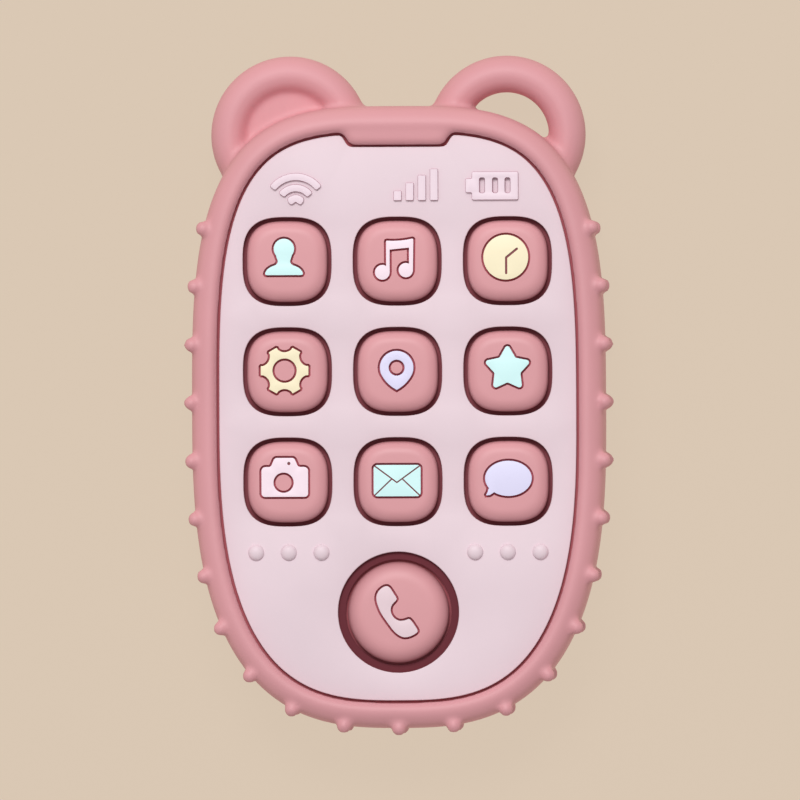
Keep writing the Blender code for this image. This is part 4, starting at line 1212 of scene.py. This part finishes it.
def make_light():
    """A large soft light above, turned to the middle of the phone."""
    light = bpy.data.lights.new("top light", "AREA")
    light.shape = "RECTANGLE"
    light.size, light.size_y = LIGHT_SIZE
    light.energy = LIGHT_POWER
    made = bpy.data.objects.new("top light", light)
    made.location = LIGHT_PLACE
    made.rotation_euler = (-made.location).to_track_quat("-Z", "Y").to_euler()
    bpy.context.scene.collection.objects.link(made)


def make_room():
    bm = bmesh.new()
    bmesh.ops.create_grid(bm, x_segments=1, y_segments=1, size=CARD_HALF)
    mesh = bpy.data.meshes.new("floor")
    bm.to_mesh(mesh)
    bm.free()
    floor = bpy.data.objects.new("floor", mesh)
    bpy.context.scene.collection.objects.link(floor)
    card = Paint("pale card", roughness=0.95, specular_ior_level=0.0)
    colour = tint(*CARD_TINT)
    fibre = card.noise(700.0, 3.0)
    shade = card.blend(fibre, shifted(colour, 0.995), shifted(colour, 1.005))
    dim = card.blend(CARD_SHADE, (0.0, 0.0, 0.0, 1.0), shade)
    card.shader.inputs["Emission Strength"].default_value = CARD_GLOW
    mesh.materials.append(card.feed(Base_Color=dim, Emission_Color=shade))

    world = bpy.data.worlds.new("studio")
    world.use_nodes = True
    background = world.node_tree.nodes["Background"]
    background.inputs["Color"].default_value = SKY_TINT
    background.inputs["Strength"].default_value = SKY_STRENGTH
    bpy.context.scene.world = world
    bpy.context.scene.view_settings.view_transform = "Standard"


def make_camera():
    lens = bpy.data.cameras.new("camera")
    lens.sensor_width = SENSOR
    lens.lens = SENSOR * CAMERA_DISTANCE / VIEW_WIDTH
    lens.clip_end = CAMERA_FAR
    made = bpy.data.objects.new("camera", lens)
    made.rotation_euler = (0, CAMERA_LEAN, CAMERA_ROLL)
    back = made.rotation_euler.to_matrix() @ Vector((0, 0, CAMERA_DISTANCE))
    made.location = Vector(CAMERA_TARGET) + back
    bpy.context.scene.collection.objects.link(made)
    bpy.context.scene.camera = made


def finish_cad_nodes(finishes):
    """Give every CAD node that still shows its finish, by its record slot."""
    for part in frame["record"]["subparts"]:
        node = frame["nodes"][part["node"]]
        for slot in node.material_slots:
            slot.material = finishes[part["material_slot"]]


def run_scene():
    dark = {"specular_ior_level": 0.1}
    silicone = moulded("dusty rose silicone", tint(219, 155, 161), 0.55, 0.00002)
    # the keys' rose plastic darkens towards its foot: painted shade
    rose_tint, painted_shade_tint = tint(221, 157, 162), tint(150, 88, 94)
    key_painted_shade, call_painted_shade = ((KEY_SHOULDER, top, painted_shade_tint) for top in (KEY_PAINTED_SHADE_TOP, CALL_PAINTED_SHADE_TOP))
    rose_key = moulded("rose key plastic with painted shade at its foot", rose_tint, 0.5, 0.000012, foot=key_painted_shade)
    rose_call = moulded("rose call key plastic with painted shade at its foot", rose_tint, 0.5, 0.000012, foot=call_painted_shade)
    pale = moulded("pale face", tint(232, 211, 219), 0.5, 0.000008)
    pale_back = moulded("pale back shell", tint(228, 207, 214), 0.5, 0.00002)
    # painted shade on the signs' sides and a painted highlight on their tops
    sign_side_painted_shade = moulded("sign side with painted shade", tint(190, 150, 164), 0.5, 0.000008)
    sign_top_painted_highlight = moulded("sign top with painted highlight", tint(240, 219, 229), 0.5, 0.000008)
    # painted shade for the gaps round the keys and under the sleeve's lip
    gap = moulded("shaded gap", tint(186, 102, 110), 0.7, 0.00001, **dark)
    # painted shade for the keys' flanges and lower sides
    flange = moulded("shaded flange", tint(150, 82, 90), 0.7, 0.00001, **dark)
    # painted shade for the ledge in the call key's well
    well_painted_shade = moulded("maroon well with painted shade", tint(110, 52, 60), 0.7, 0.00001, **dark)
    # painted shade for the grooves round the pictures
    groove_painted_shade = moulded("groove with painted shade", tint(200, 108, 120), 0.7, 0.00001, **dark)
    keypad = moulded("keypad rubber", tint(112, 44, 54), 0.7, 0.00002, **dark)
    line = moulded("dark line", tint(150, 90, 94), 0.7, 0.00001, **dark)
    black = moulded("black plastic", tint(34, 33, 35), 0.5, 0.00002)
    mint = moulded("mint inlay", tint(217, 255, 255), 0.4, 0.00001, patch=0.015)
    cream = moulded("cream inlay", tint(253, 241, 206), 0.4, 0.00001, patch=0.015)
    lilac = moulded("lilac inlay", tint(230, 226, 255), 0.4, 0.00001, patch=0.015)
    blush = moulded("blush inlay", tint(253, 232, 243), 0.4, 0.00001, patch=0.015)
    steel = metal("zinc plated steel", (0.62, 0.62, 0.63, 1), 0.32)
    tin = metal("plated tin", (0.7, 0.7, 0.72, 1), 0.4, scratch=(14, 1, 1))
    finishes = {
        "sleeve_silicone": silicone,
        "rose_plastic": rose_key,
        "pale_plastic": pale_back,
        "keypad_rubber": keypad,
        "mint_inlay": mint,
        "cream_inlay": cream,
        "lilac_inlay": lilac,
        "blush_inlay": blush,
        "steel": steel,
        "plated_tin": tin,
        "board": circuit_green(),
        "black_plastic": black,
        "red_wire": moulded("red wire", tint(176, 40, 38), 0.45, 0.00001),
        "lamp": moulded("lamp lens", tint(246, 240, 214), 0.2, 0.000005),
        "cell_wrap": cell_wrap(),
    }
    finish_cad_nodes(finishes)
    frame["nodes"]["speaker_cone"].material_slots[0].material = paper_cone()
    make_sleeve(silicone)
    make_front_cover(pale, gap, sign_side_painted_shade, well_painted_shade, sign_top_painted_highlight)
    inlays = {name: finishes[frame_slot(f"icon_{name}")] for name in KEYS}
    inlays["call"] = moulded("pale inlay", tint(235, 211, 218), 0.4, 0.00001, patch=0.015)
    for name in KEYS:
        # the keys' lower sides carry the painted shade of the flange or gap material
        plastic, foot = (rose_call, gap) if name == "call" else (rose_key, flange)
        make_key(name, plastic, groove_painted_shade, foot, inlays[name], line)
        make_dome(name, keypad)
    make_rear_cover(pale_back)
    make_battery_door(pale_back)
    for number in range(1, 5):
        make_screw(f"shell_screw_{number}", f"case_screw_{number}", steel, "phone")
    make_screw("hatch_screw", "battery_door_screw", steel, "door_screw")
    make_knob(black)
    make_room()
    make_light()
    make_camera()


run_scene()
